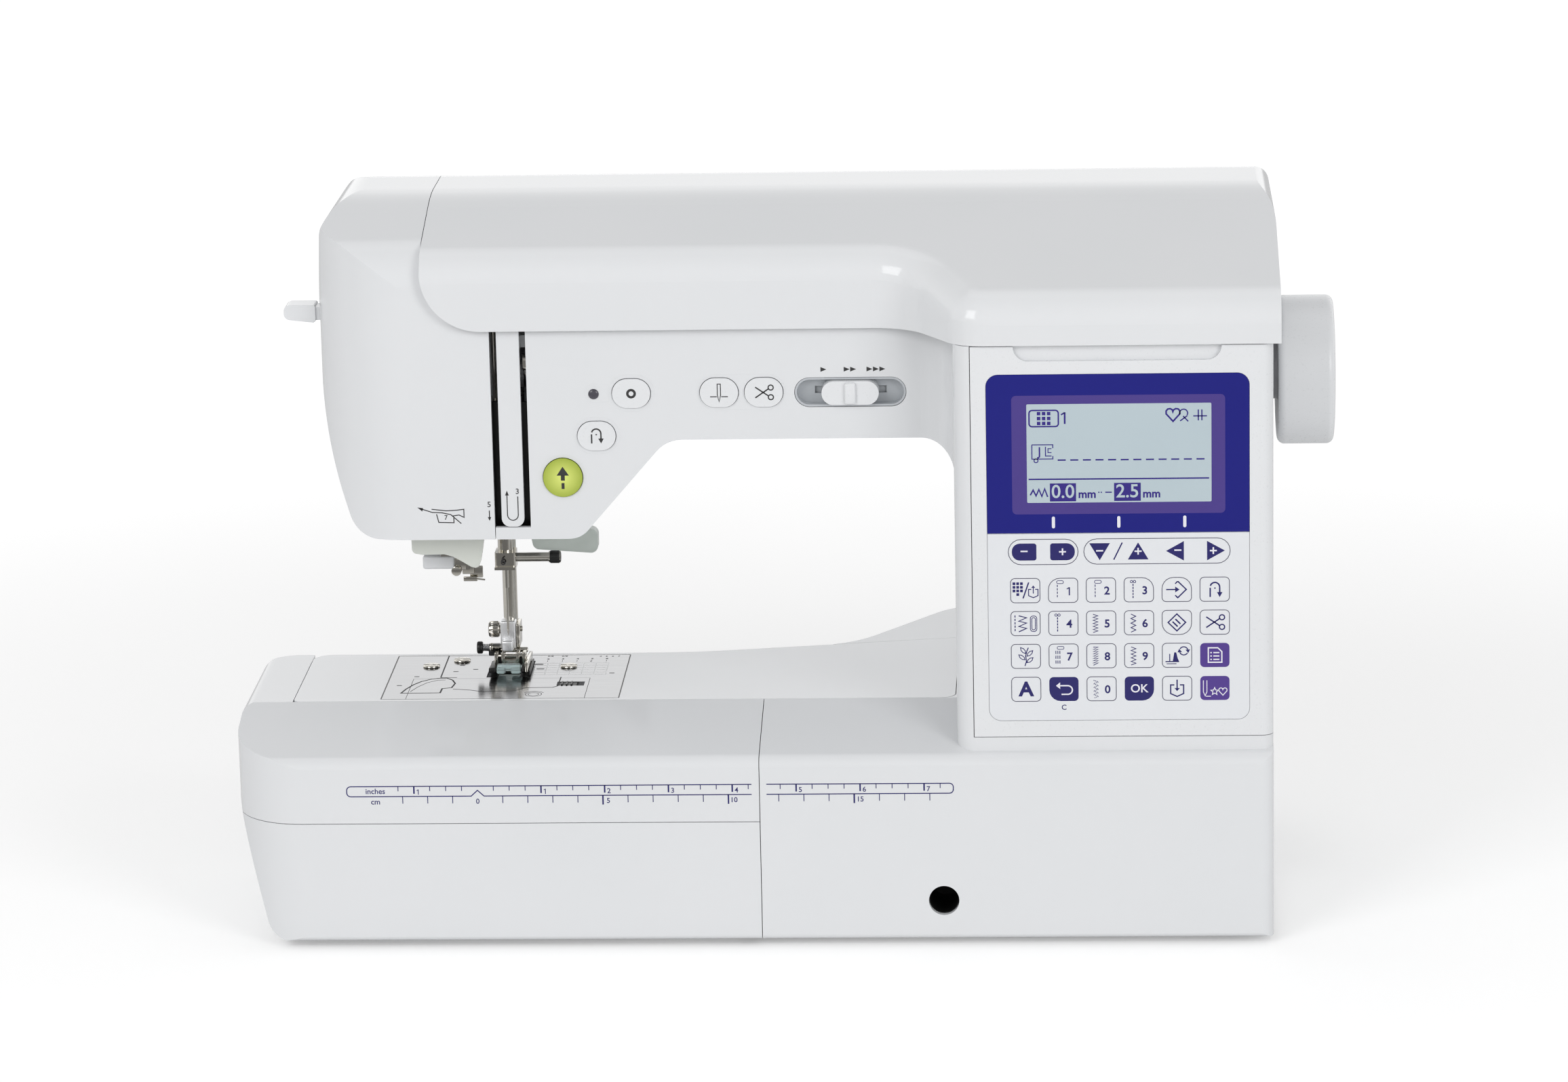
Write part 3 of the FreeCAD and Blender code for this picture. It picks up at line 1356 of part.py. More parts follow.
makers = [base_pan, rubber_feet, front_cover, rear_cover, face_cover, thread_guide_strip, top_lid,
          lid_hinge_pins, top_deck, spool_pin, bobbin_winder, bed_cover, bed_extension, accessory_drawer,
          control_panel, display_window, membrane_keypad, lcd_module, circuit_boards, slider_bezel,
          speed_slider, needle_plate, plate_screws, bobbin_cover, bobbin_cover_latch, feed_dog, hook,
          bobbin_case, bobbin, main_frame, shaft_bushes, upper_shaft, handwheel, needle_crank,
          connecting_rod, take_up_lever, motor, motor_pulley, drive_belts, lower_shaft, needle_bar,
          needle_clamp, needle_clamp_screw, needle, presser_bar, foot_holder, foot_screw, presser_foot,
          presser_lever, threader_lever, needle_threader, thread_guard, knee_lifter_socket, power_switch,
          side_sockets]


def export(name, shape):
    """Write one piece, moved so that the origin lies under the middle of the machine."""
    shape.translate(vector(-machine_width / 2, -machine_depth / 2, 0))
    shape.exportStep("parts/" + name + ".step")


os.makedirs("parts", exist_ok=True)
for make in makers:
    export(make.__name__, make())
for button_name in button_places():
    export(button_name, arm_button(button_name))
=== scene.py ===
import math

import bpy
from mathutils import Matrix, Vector


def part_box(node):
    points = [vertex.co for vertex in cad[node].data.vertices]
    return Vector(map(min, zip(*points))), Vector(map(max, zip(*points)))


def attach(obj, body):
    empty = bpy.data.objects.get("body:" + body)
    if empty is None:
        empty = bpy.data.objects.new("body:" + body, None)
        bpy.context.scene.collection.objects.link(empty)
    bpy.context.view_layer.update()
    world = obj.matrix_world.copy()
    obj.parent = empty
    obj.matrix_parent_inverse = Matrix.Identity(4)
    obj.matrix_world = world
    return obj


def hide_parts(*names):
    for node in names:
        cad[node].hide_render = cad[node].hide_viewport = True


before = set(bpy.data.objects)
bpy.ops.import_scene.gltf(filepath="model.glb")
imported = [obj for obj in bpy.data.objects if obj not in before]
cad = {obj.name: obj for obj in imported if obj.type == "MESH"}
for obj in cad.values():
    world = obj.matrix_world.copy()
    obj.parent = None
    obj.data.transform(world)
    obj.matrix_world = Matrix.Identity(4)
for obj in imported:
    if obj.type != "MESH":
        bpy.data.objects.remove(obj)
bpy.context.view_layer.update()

# Base pan and the four feet that the machine stands on.
# The pan is white ABS, moulded in one shot; each foot is black rubber pressed on to a peg.
# Both are smooth from the tool, the rubber with a dull bloom.


def linear(code):
    """An sRGB hex colour as linear red, green, blue and alpha."""
    shares = [int(code[i:i + 2], 16) / 255 for i in (1, 3, 5)]
    return [s / 12.92 if s <= 0.04045 else ((s + 0.055) / 1.055) ** 2.4 for s in shares] + [1.0]


def add(tree, kind, settings, inputs):
    """A shader node with its settings, its sockets fed by values or by other nodes' sockets."""
    item = tree.nodes.new("ShaderNode" + kind)
    for name, value in settings.items():
        setattr(item, name, value)
    for name, value in inputs.items():
        if isinstance(value, bpy.types.NodeSocket):
            tree.links.new(value, item.inputs[name])
        else:
            item.inputs[name].default_value = value
    return item


def new_finish(name):
    """An empty material, with its node tree and the piece's own coordinates in metres."""
    finish = bpy.data.materials.new(name)
    finish.use_nodes = True
    finish.node_tree.nodes.clear()
    spot = add(finish.node_tree, "TexCoord", {}, {}).outputs["Object"]
    return finish, finish.node_tree, spot


def moulded(name, pale, deep, rough, grain_mm, depth_mm):
    """Moulded plastic or rubber: two close tints in soft clouds, and the fine grain of the tool."""
    finish, tree, spot = new_finish(name)
    cloud_mm = 60
    cloud = add(tree, "TexNoise", {}, {"Vector": spot, "Scale": 1000 / cloud_mm, "Detail": 2})
    tint = add(tree, "Mix", {"data_type": "RGBA"},
               {"Factor": cloud.outputs["Fac"], "A": linear(pale), "B": linear(deep)})
    grain = add(tree, "TexNoise", {}, {"Vector": spot, "Scale": 1000 / grain_mm, "Detail": 3})
    gloss = add(tree, "MapRange", {}, {"Value": grain.outputs["Fac"], "From Min": 0.3, "From Max": 0.7,
                                       "To Min": rough * 0.88, "To Max": rough * 1.12})
    skin = add(tree, "Bump", {}, {"Height": grain.outputs["Fac"], "Strength": 0.5,
                                  "Distance": depth_mm / 1000})
    shader = add(tree, "BsdfPrincipled", {}, {"Base Color": tint.outputs["Result"], "IOR": 1.5,
                                              "Roughness": gloss.outputs["Result"],
                                              "Normal": skin.outputs["Normal"]})
    add(tree, "OutputMaterial", {}, {"Surface": shader.outputs[0]})
    return finish


def wear(finish, *names):
    """Gives CAD nodes their finish."""
    for name in names:
        cad[name].data.materials.clear()
        cad[name].data.materials.append(finish)
        for face in cad[name].data.polygons:
            face.material_index = 0


# Glossy white ABS: near white with a cool cast and clear soft reflections
white_abs = moulded("white_abs_moulded", "#E6E7E9", "#E2E4E6", 0.12, 1.2, 0.002)
# Moulded natural rubber: almost black, dull all over
black_rubber = moulded("black_rubber_moulded", "#262626", "#1D1D1D", 0.75, 0.6, 0.03)
wear(white_abs, "base_pan")
wear(black_rubber, "rubber_feet")

# Cast frame with its bushes, the motor and the belts, inside the covers.
# Aluminium die casting with a slightly pebbled skin; sintered bronze bushes pressed into it.
# The motor sits in a zinc plated can, and the belts are moulded rubber.


def worked_metal(name, pale, deep, rough, grain_mm, depth_mm, stretch):
    """Metal with fine marks; stretch draws the marks out along X, Y and Z as brushing or grinding does."""
    finish, tree, spot = new_finish(name)
    drawn = add(tree, "Mapping", {}, {"Vector": spot, "Scale": stretch})
    marks = add(tree, "TexNoise", {}, {"Vector": drawn.outputs["Vector"], "Scale": 1000 / grain_mm,
                                       "Detail": 4})
    tint = add(tree, "Mix", {"data_type": "RGBA"},
               {"Factor": marks.outputs["Fac"], "A": linear(pale), "B": linear(deep)})
    gloss = add(tree, "MapRange", {}, {"Value": marks.outputs["Fac"], "From Min": 0.3, "From Max": 0.7,
                                       "To Min": rough * 0.8, "To Max": rough * 1.2})
    skin = add(tree, "Bump", {}, {"Height": marks.outputs["Fac"], "Strength": 0.5,
                                  "Distance": depth_mm / 1000})
    shader = add(tree, "BsdfPrincipled", {}, {"Base Color": tint.outputs["Result"], "Metallic": 1.0,
                                              "Roughness": gloss.outputs["Result"],
                                              "Normal": skin.outputs["Normal"]})
    add(tree, "OutputMaterial", {}, {"Surface": shader.outputs[0]})
    return finish


# Die cast aluminium: pale grey, matt, with a pebbled skin about a millimetre coarse
cast_aluminium = worked_metal("aluminium_die_cast", "#B9BABC", "#A6A7A9", 0.5, 1.0, 0.06, (1, 1, 1))
# Sintered bronze: warm brown with open pores
sintered_bronze = worked_metal("bronze_sintered", "#A8814C", "#8F6B3C", 0.42, 0.5, 0.03, (1, 1, 1))
# Ground steel: mid grey with fine rings or lines from the wheel
ground_steel = worked_metal("steel_ground", "#A5A6A8", "#8C8D90", 0.3, 0.5, 0.01, (0.15, 1, 1))
wear(cast_aluminium, "main_frame")
wear(sintered_bronze, "shaft_bushes")
wear(ground_steel, "motor", "upper_shaft", "needle_crank", "connecting_rod", "motor_pulley",
     "lower_shaft", "hook", "feed_dog", "lid_hinge_pins")
wear(black_rubber, "drive_belts")

# Front, rear and face covers, the bed cover and the deck under the lid.
# White ABS mouldings that close on one another along fine seams and screw to the frame from behind.
# The guide strip, lid, bed extension, drawer and threader lever are of the same plastic.

wear(white_abs, "front_cover", "rear_cover", "face_cover", "bed_cover", "top_deck",
     "thread_guide_strip", "top_lid", "bed_extension", "accessory_drawer", "threader_lever")

# Handwheel, spool pin, bobbin winder, switch, sockets and the small plastic pieces.
# Satin white ABS for the wheel and keys, grey ABS in the thread compartment, black for the sockets.
# All are moulded; the wheel is pressed on to the upper shaft.

# Satin ABS: the same white, a little duller than the covers
satin_abs = moulded("white_abs_satin", "#E8E9EB", "#E4E6E8", 0.3, 0.9, 0.008)
# Grey ABS: light neutral grey with a fine spark-eroded grain
grey_abs = moulded("grey_abs_moulded", "#C3C7CB", "#BABEC2", 0.42, 0.7, 0.012)
# Black nylon: deep black with a low sheen
black_nylon = moulded("black_nylon_moulded", "#161616", "#101010", 0.4, 0.7, 0.012)
wear(satin_abs, "handwheel", "control_panel", "reverse_button", "tie_off_button",
     "needle_position_button", "thread_cutter_button", "speed_slider")
wear(grey_abs, "spool_pin", "bobbin_winder", "slider_bezel")
wear(black_nylon, "knee_lifter_socket", "power_switch", "side_sockets", "bobbin_case",
     "bobbin_cover_latch")

# Needle plate with its screws, the bobbin cover, the needle bar and the presser bar with their fittings.
# The plate is stainless steel, brushed from left to right; the bars and small parts are nickel plated.
# Screws hold the plate from above, and set screws hold the needle and the foot.

# Brushed stainless steel: fine lines along X, three tenths of a millimetre apart so that they show
brushed_steel = worked_metal("stainless_steel_brushed", "#B3B3B4", "#A2A3A5", 0.16, 0.3, 0.003,
                             (0.02, 1, 1))
# Nickel plate: bright with a faint yellow cast and a soft polish
nickel_plate = worked_metal("nickel_plate_polished", "#D3CFC6", "#C3BFB6", 0.12, 1.5, 0.003, (1, 1, 1))
wear(brushed_steel, "needle_plate", "bobbin_cover")
wear(nickel_plate, "plate_screws", "needle_bar", "needle_clamp", "needle_clamp_screw", "needle",
     "presser_bar", "foot_holder", "foot_screw", "presser_foot", "needle_threader", "take_up_lever")

# Frosted polypropylene: milky with a green cast, light comes through it softly
frosted, frosted_tree, frosted_spot = new_finish("polypropylene_frosted")
frosted_cloud = add(frosted_tree, "TexNoise", {},
                    {"Vector": frosted_spot, "Scale": 1000 / 5, "Detail": 3})
frosted_tint = add(frosted_tree, "Mix", {"data_type": "RGBA"},
                   {"Factor": frosted_cloud.outputs["Fac"], "A": linear("#DFE6E1"), "B": linear("#CFD8D1")})
frosted_shader = add(frosted_tree, "BsdfPrincipled", {},
                     {"Base Color": frosted_tint.outputs["Result"], "Roughness": 0.28, "IOR": 1.49,
                      "Transmission Weight": 0.35})
add(frosted_tree, "OutputMaterial", {}, {"Surface": frosted_shader.outputs[0]})
wear(frosted, "bobbin", "presser_lever", "thread_guard")

# Control panel's lens, key film, display module and boards.
# Acrylic lens printed blue on its back, polyester key film, glass display and epoxy boards behind.

# Back printed acrylic: deep blue under a clear gloss
blue_lens = moulded("acrylic_printed_blue", "#222482", "#1F217C", 0.1, 30, 0.001)
# Polyester film: white with a satin hard coat
key_film = moulded("polyester_film_white", "#E7E9EC", "#E4E6EA", 0.32, 0.5, 0.006)
# Circuit board: green solder mask over glass cloth
board_epoxy = moulded("glass_epoxy_green", "#1F5A36", "#174A2B", 0.35, 0.8, 0.01)
# Liquid crystal glass: pale grey blue
display_glass = moulded("display_glass_grey", "#BFCDD3", "#B9C8CF", 0.2, 20, 0.001)
wear(blue_lens, "display_window")
wear(key_film, "membrane_keypad")
wear(board_epoxy, "circuit_boards")
wear(display_glass, "lcd_module")

# Key printing on the film: outlined keys with dark icons, four filled keys and the filled value keys.
# Screen printed in grey, navy, violet and white inks, a few hundredths of a millimetre thick.
# The film is glued into the panel's recess over the switch domes.

# Millimetres from the frame's middle to the machine's left end and to its front
half_width, half_depth = 224, 98


def at(x, y, z):
    """A point in millimetres from the machine's left end, front and table, in the frame's metres."""
    return ((x - half_width) / 1000, (y - half_depth) / 1000, z / 1000)


def ribbon(points, width, closed=False):
    """Faces of a printed line of that width along the points, mitred at its bends."""
    count, sharpest = len(points), 0.45
    edges = []
    for i, point in enumerate(points):
        here = Vector(point)
        runs = []
        if closed or i > 0:
            runs.append((here - Vector(points[i - 1])).normalized())
        if closed or i < count - 1:
            runs.append((Vector(points[(i + 1) % count]) - here).normalized())
        side = sum((Vector((-run.y, run.x)) for run in runs), Vector((0, 0))).normalized()
        lean = max(sharpest, abs(side.dot(Vector((-runs[0].y, runs[0].x)))))
        edges.append((here - side * width / 2 / lean, here + side * width / 2 / lean))
    faces = []
    for i in range(count if closed else count - 1):
        near, far = edges[i], edges[(i + 1) % count]
        faces.append([near[0], far[0], far[1], near[1]])
    return faces


def lines(width, *paths):
    """Faces of several printed lines of one width."""
    return [face for path in paths for face in ribbon(path, width)]


def arc(x, z, radius, start, end, steps=8):
    """Points along an arc, with its angles in degrees."""
    angles = [math.radians(start + (end - start) * step / steps) for step in range(steps + 1)]
    return [(x + radius * math.cos(angle), z + radius * math.sin(angle)) for angle in angles]


def rounded(x, z, width, height, radii):
    """Points round a rectangle about its middle, with each corner's radius from the lower left on."""
    corners = ((-1, -1, 180), (1, -1, 270), (1, 1, 0), (-1, 1, 90))
    points = []
    for (across, up, turn), radius in zip(corners, radii):
        points += arc(x + across * (width / 2 - radius), z + up * (height / 2 - radius), radius,
                      turn, turn + 90, 5)
    return points


def tablet(x, z, width, height, radius):
    """Points round a rectangle with four like corners."""
    return rounded(x, z, width, height, [radius] * 4)


def loop(x, z, radius, width, steps=16):
    """Faces of a printed ring."""
    return ribbon(arc(x, z, radius, 0, 360, steps)[:-1], width, True)


def dashes(start, end, length, gap, width):
    """Faces of a dashed line."""
    begin, run = Vector(start), Vector(end) - Vector(start)
    step = run.normalized()
    faces = []
    spot = 0.0
    while spot + length <= run.length + 1e-6:
        faces += ribbon([begin + step * spot, begin + step * (spot + length)], width)
        spot += length + gap
    return faces


def moved(faces, x, z, scale=1.0):
    """The faces carried to a place."""
    return [[(a * scale + x, b * scale + z) for a, b in face] for face in faces]


def letters(words, x, z, size, bold=0.012):
    """Faces of a word in a plain sans face, centred on a place."""
    if words == "1":
        flag = [(x - size * 0.2, z + size * 0.2), (x + size * 0.02, z + size * 0.34)]
        stem = [(x + size * 0.02, z + size * 0.36), (x + size * 0.02, z - size * 0.36)]
        return ribbon(flag, size * 0.09) + ribbon(stem, size * 0.11)
    bpy.ops.object.select_all(action="DESELECT")
    bpy.ops.object.text_add()
    text = bpy.context.object
    text.data.body, text.data.size, text.data.resolution_u = words, size, 4
    text.data.align_x, text.data.align_y = "CENTER", "CENTER"
    text.data.offset = size * bold
    bpy.ops.object.convert(target="MESH")
    mesh = bpy.context.object.data
    faces = [[(x + mesh.vertices[i].co.x, z + mesh.vertices[i].co.y) for i in face.vertices]
             for face in mesh.polygons]
    bpy.ops.object.delete()
    return faces


def bring(name, data):
    """Puts a mesh or a curve in the scene as the one selected piece."""
    piece = bpy.data.objects.new(name, data)
    bpy.context.scene.collection.objects.link(piece)
    bpy.ops.object.select_all(action="DESELECT")
    piece.select_set(True)
    bpy.context.view_layer.objects.active = piece
    return piece


def shape(piece, kind, **settings):
    """Shapes the active piece with a modifier, which is applied."""
    bpy.ops.object.modifier_add(type=kind)
    for name, value in settings.items():
        setattr(piece.modifiers[0], name, value)
    bpy.ops.object.modifier_apply(modifier=piece.modifiers[0].name)


def printed(name, faces, level, ink, body="machine_body", top=False):
    """A film of ink on a front face at that depth, or on a top face at that height."""
    film_mm = 0.06
    points, rings = [], []
    for face in faces:
        rings.append(list(range(len(points), len(points) + len(face))))
        points += [at(a, b, level) if top else at(a, level, b) for a, b in face]
    mesh = bpy.data.meshes.new(name)
    mesh.from_pydata(points, [], rings)
    film = bring(name, mesh)
    bpy.ops.object.mode_set(mode="EDIT")
    bpy.ops.mesh.select_all(action="SELECT")
    bpy.ops.mesh.remove_doubles(threshold=1e-6)
    bpy.ops.object.mode_set(mode="OBJECT")
    shape(film, "SOLIDIFY", thickness=film_mm / 1000, offset=-1)
    film.data.materials.append(ink)
    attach(film, body)


# Screen inks: thin opaque films with a satin surface and a faint mottle from the mesh
navy_ink = moulded("screen_ink_navy", "#2A2670", "#262266", 0.4, 0.4, 0.003)
grey_ink = moulded("screen_ink_grey", "#5F5E70", "#59586A", 0.4, 0.4, 0.003)
violet_ink = moulded("screen_ink_violet", "#573F93", "#523B8C", 0.35, 0.4, 0.003)
pale_ink = moulded("screen_ink_pale", "#ECEBF2", "#E6E5EE", 0.4, 0.4, 0.003)

# A coat of ink stands this far proud of what it is printed on, in millimetres
ink_step = 0.03
film_y = 5.3
first_coat, second_coat = film_y - ink_step, film_y - 2 * ink_step
key_columns = [322 + 15.1 * i for i in range(6)]
key_rows = [147.0, 133.4, 119.8, 106.1]
key_width, key_height, key_round, key_sweep = 11.7, 10.0, 1.7, 4.6
key_edge, line = 0.3, 0.52
navy_keys, violet_keys = ((1, 3), (3, 3)), ((5, 2), (5, 3))


def key_outline(column, row):
    """A key's outline, with the larger corners that mark some keys, from the lower left on."""
    swept = {(1, 0): (3,), (3, 0): (2,), (4, 0): (2, 3), (4, 1): (0, 1), (1, 3): (0,), (3, 3): (1,)}
    radii = [key_sweep if i in swept.get((column, row), ()) else key_round for i in range(4)]
    return rounded(key_columns[column], key_rows[row], key_width, key_height, radii)


outlines = []
for column in range(6):
    for row in range(4):
        if (column, row) not in navy_keys + violet_keys:
            outlines += ribbon(key_outline(column, row), key_edge, True)
value_z, value_height = key_rows[0] + 15.9, 10.4
for x, width in ((329.3, 27.8), (374.6, 58.2)):
    outlines += ribbon(tablet(x, value_z, width, value_height, value_height / 2 - 0.05), key_edge, True)
printed("key_outlines", outlines, first_coat, grey_ink)

minus_places, plus_places = (321.7, 351.8, 382.9), (337.0, 367.1, 397.0)
navy_fill = [key_outline(*key) for key in navy_keys]
navy_fill.append(rounded(minus_places[0], value_z, 9.8, 7.0, [3.2, 1.0, 1.0, 3.2]))
navy_fill.append(rounded(plus_places[0], value_z, 9.8, 7.0, [1.0, 3.2, 3.2, 1.0]))
for corners in (((347.7, 3.4), (351.8, -3.6), (355.9, 3.4)), ((363.0, -3.4), (371.2, -3.4), (367.1, 3.6)),
                ((378.2, 0), (385.3, -4.0), (385.3, 4.0)), ((394.5, -4.0), (401.6, 0), (394.5, 4.0))):
    navy_fill.append([(x, value_z + z) for x, z in corners])
printed("filled_keys_navy", navy_fill, first_coat, navy_ink)
violet_fill = [key_outline(*key) for key in violet_keys]
printed("filled_keys_violet", violet_fill, first_coat, violet_ink)


def stitch(kind):
    """A stitch column on a digit key, about the key's middle."""
    left, low, high, thread = -2.3, -3.9, 3.6, 0.34
    head = ribbon(tablet(-1.2, 3.4, 2.7, 1.2, 0.55), 0.24, True)
    if kind == "straight":
        return head + dashes((left, 2.3), (left, low), 0.9, 0.5, thread)
    if kind == "lazy":
        head = loop(left - 0.6, high - 0.2, 0.5, 0.26, 10) + loop(left + 0.6, high - 0.2, 0.5, 0.26, 10)
        return head + dashes((left, high - 1.1), (left, low), 0.9, 0.35, 0.4)
    if kind == "bars":
        for offset in (-0.8, 0, 0.8):
            head += dashes((left + offset, 2.2), (left + offset, low), 1.3, 0.7, thread)
        return head
    teeth = {"zigzag": 6, "wide": 4, "feather": 8, "wave": 5, "dotted": 5}[kind]
    points = []
    for i in range(2 * teeth + 1):
        lean = 0.5 if kind == "feather" and i % 2 else 0.0
        points.append((left + (1.0 if i % 2 else -0.9), high + (low - high) * i / (2 * teeth) + lean))
    if kind == "dotted":
        return [face for a, b in zip(points, points[1:]) for face in dashes(a, b, 0.35, 0.3, thread)]
    return ribbon(points, thread)


icons = []
digits = {(1, 0): ("1", "straight"), (2, 0): ("2", "straight"), (3, 0): ("3", "lazy"),
          (1, 1): ("4", "lazy"), (2, 1): ("5", "zigzag"), (3, 1): ("6", "wide"),
          (1, 2): ("7", "bars"), (2, 2): ("8", "feather"), (3, 2): ("9", "wave"), (2, 3): ("0", "dotted")}
for (column, row), (digit, kind) in digits.items():
    x, z = key_columns[column], key_rows[row]
    icons += letters(digit, x + 2.4, z - 0.4, 4.6, 0.024) + moved(stitch(kind), x, z)


def pocket(arrow_up):
    """A small pocket with an arrow into or out of it."""
    faces = ribbon([(-1.1, 1.4), (-2.6, 1.4), (-2.6, -2.2), (0, -3.4), (2.6, -2.2), (2.6, 1.4),
                    (1.1, 1.4)], line)
    tip, tail = (3.6, -1.0) if arrow_up else (-1.2, 3.6)
    back = tip - 1.3 if arrow_up else tip + 1.3
    faces += ribbon([(0, tail), (0, back)], line)
    return faces + [[(-1.1, back), (0, tip), (1.1, back)][::-1 if arrow_up else 1]]


def u_turn():
    """Reverse stitch sign: a dashed leg up, over and down to an arrow."""
    faces = ribbon(arc(0.1, 0.9, 1.9, 165, 0, 8) + [(2.0, -1.4)], 0.6)
    faces += [[(0.9, -1.2), (2.0, -3.3), (3.1, -1.2)]]
    return faces + lines(0.6, [(-1.8, 0.6), (-1.8, -3.2)], [(0.1, 0.7), (0.1, 0.2)])


def scissors():
    """Thread cutting sign: open scissors with two finger rings."""
    faces = lines(0.55, [(-3.4, 2.2), (2.0, -1.5)], [(-3.4, -2.2), (2.0, 1.5)])
    return faces + loop(2.9, 2.0, 1.05, 0.5, 12) + loop(2.9, -2.0, 1.05, 0.5, 12)


dot_grid = [tablet(-4.5 + 1.5 * i, 2.9 - 1.5 * j, 1.1, 1.1, 0.1)
            for i in range(3) for j in range(4) if j < 3 or i == 1]
slash = ribbon([(-0.9, -3.2), (1.4, 3.4)], line)
diamond = lines(line, [(0.4, 3.4), (3.8, 0), (0.4, -3.4), (-0.6, -2.4)], [(0.4, 3.4), (-0.6, 2.4)])
arrow_in = ribbon([(-4.2, 0), (-0.4, 0)], 0.5) + [[(-0.6, -1.2), (1.1, 0), (-0.6, 1.2)]]
full_diamond = ribbon([(0, 3.5), (3.5, 0), (0, -3.5), (-3.5, 0)], line, True)
slants = lines(0.6, [(-1.7, 0.3), (0.3, -1.7)], [(-0.6, 1.4), (1.4, -0.6)])
stitch_set = dashes((-4.2, 3.4), (-4.2, -3.6), 0.9, 0.5, 0.4)
stitch_set += ribbon([(-2.7, 3.2), (0.4, 2.4), (-2.7, 1.0), (0.4, 0.2), (-2.7, -1.2), (0.4, -2.0),
                      (-2.7, -3.4)], 0.45)
for width, height, radius in ((2.6, 6.4, 1.1), (1.4, 5.0, 0.6)):
    stitch_set += ribbon(tablet(3.2, -0.1, width, height, radius), 0.3, True)
sprig = ribbon([(-0.4, -4.0), (0.2, -2.0), (-0.1, 0.2), (0.4, 2.2), (1.0, 3.6)], 0.4)
for leaf_x, leaf_z, lean in ((1.6, -1.6, 40), (-1.6, -0.4, 140), (1.6, 1.2, 45), (-1.1, 2.4, 130)):
    away = Vector((math.cos(math.radians(lean)), math.sin(math.radians(lean))))
    wide = Vector((-away.y, away.x)) * 0.75
    leaf = [Vector((leaf_x, leaf_z)) + away * a + wide * b for a, b in
            ((-1.6, 0), (-0.6, 0.8), (0.6, 0.8), (1.6, 0), (0.6, -0.8), (-0.6, -0.8))]
    sprig += ribbon(leaf[::-1], 0.32, True)
foot_turn = ribbon([(-4.6, -2.6), (0.8, -2.6)], 0.45) + ribbon([(-4.2, -3.5), (-0.2, -3.5)], 0.3)
foot_turn += ribbon([(-2.9, -2.4), (-2.9, 0.6)], 0.4)
foot_turn += [[(-1.7, -2.5), (0.8, -2.5), (0.2, -1.0), (-0.3, 1.2), (-1.1, 1.2)]]
foot_turn += lines(0.45, arc(2.7, 1.8, 1.7, 150, 20, 6), arc(2.7, 1.8, 1.7, 330, 200, 6))
foot_turn += [[(3.4, 2.3), (4.5, 0.9), (5.2, 2.4)], [(2.0, 1.3), (0.9, 2.7), (0.2, 1.2)]]
key_signs = {(0, 0): dot_grid + slash + moved(pocket(True), 3.2, -0.5, 0.72), (4, 0): diamond + arrow_in,
             (5, 0): u_turn(), (0, 1): stitch_set, (4, 1): full_diamond + slants, (5, 1): scissors(),
             (0, 2): sprig, (4, 2): foot_turn, (4, 3): pocket(False)}
for (column, row), sign in key_signs.items():
    icons += moved(sign, key_columns[column], key_rows[row])
icons += letters("A", key_columns[0], key_rows[3] - 0.2, 8.2, 0.035)
icons += letters("C", key_columns[1], 98.4, 3.0)
icons += ribbon([(357.4, value_z - 3.4), (360.8, value_z + 3.6)], line)
printed("key_icons", icons, first_coat, navy_ink)

pale_icons = []
for x in minus_places:
    pale_icons += ribbon([(x - 1.4, value_z + 0.3), (x + 1.4, value_z + 0.3)], 0.6)
for x in plus_places:
    pale_icons += lines(0.6, [(x - 1.4, value_z), (x + 1.4, value_z)],
                        [(x, value_z + 0.3), (x, value_z + 1.4)], [(x, value_z - 0.3), (x, value_z - 1.4)])
back_arrow = ribbon([(-1.6, 1.4), (1.6, 1.4)] + arc(1.6, -0.4, 1.8, 80, -80, 6) + [(-1.0, -2.2)], 0.55)
back_arrow += [[(-3.2, 1.4), (-1.5, 0.0), (-1.5, 2.8)]]
page = ribbon([(-2.6, 3.0), (1.2, 3.0), (2.8, 1.4), (2.8, -3.0), (-2.6, -3.0)], 0.5, True)
for z in (1.0, -0.4, -1.8):
    page += lines(0.5, [(-0.6, z), (1.8, z)], [(-1.8, z), (-1.2, z)])
star = []
for i in range(10):
    angle, reach = math.radians(36 * i), 0.7 if i % 2 else 1.6
    star.append((math.sin(angle) * reach, math.cos(angle) * reach))
heart = [(0, -1.6), (1.6, 0.2)] + arc(0.8, 0.6, 0.85, -20, 180, 5)
heart += arc(-0.8, 0.6, 0.85, 0, 200, 5)[1:] + [(-1.6, 0.2)]
fancy = lines(0.32, [(-4.6, 3.2), (-4.6, -1.6), (-3.9, -3.2), (-3.2, -1.6), (-3.2, 3.2)],
              [(-3.6, -3.4), (-1.6, -3.4)])
fancy += moved(ribbon(star[::-1], 0.34, True), -0.1, -1.4) + moved(ribbon(heart, 0.34, True), 3.2, -1.4)
for (column, row), sign in {(1, 3): back_arrow, (5, 2): page, (5, 3): fancy}.items():
    pale_icons += moved(sign, key_columns[column], key_rows[row])
pale_icons += letters("OK", key_columns[3], key_rows[3] - 0.1, 4.8)
printed("filled_key_signs", pale_icons, second_coat, pale_ink)

# Display: violet surround, pale grey screen with its dark segments, and three white pointer marks.
# The surround is printed on the lens, and the screen is the liquid crystal seen through the clear part.
# The segments are drawn as the film of ink that they look like, each film a little in front of the last.

lens_y, lens_step = 5.2, 0.02
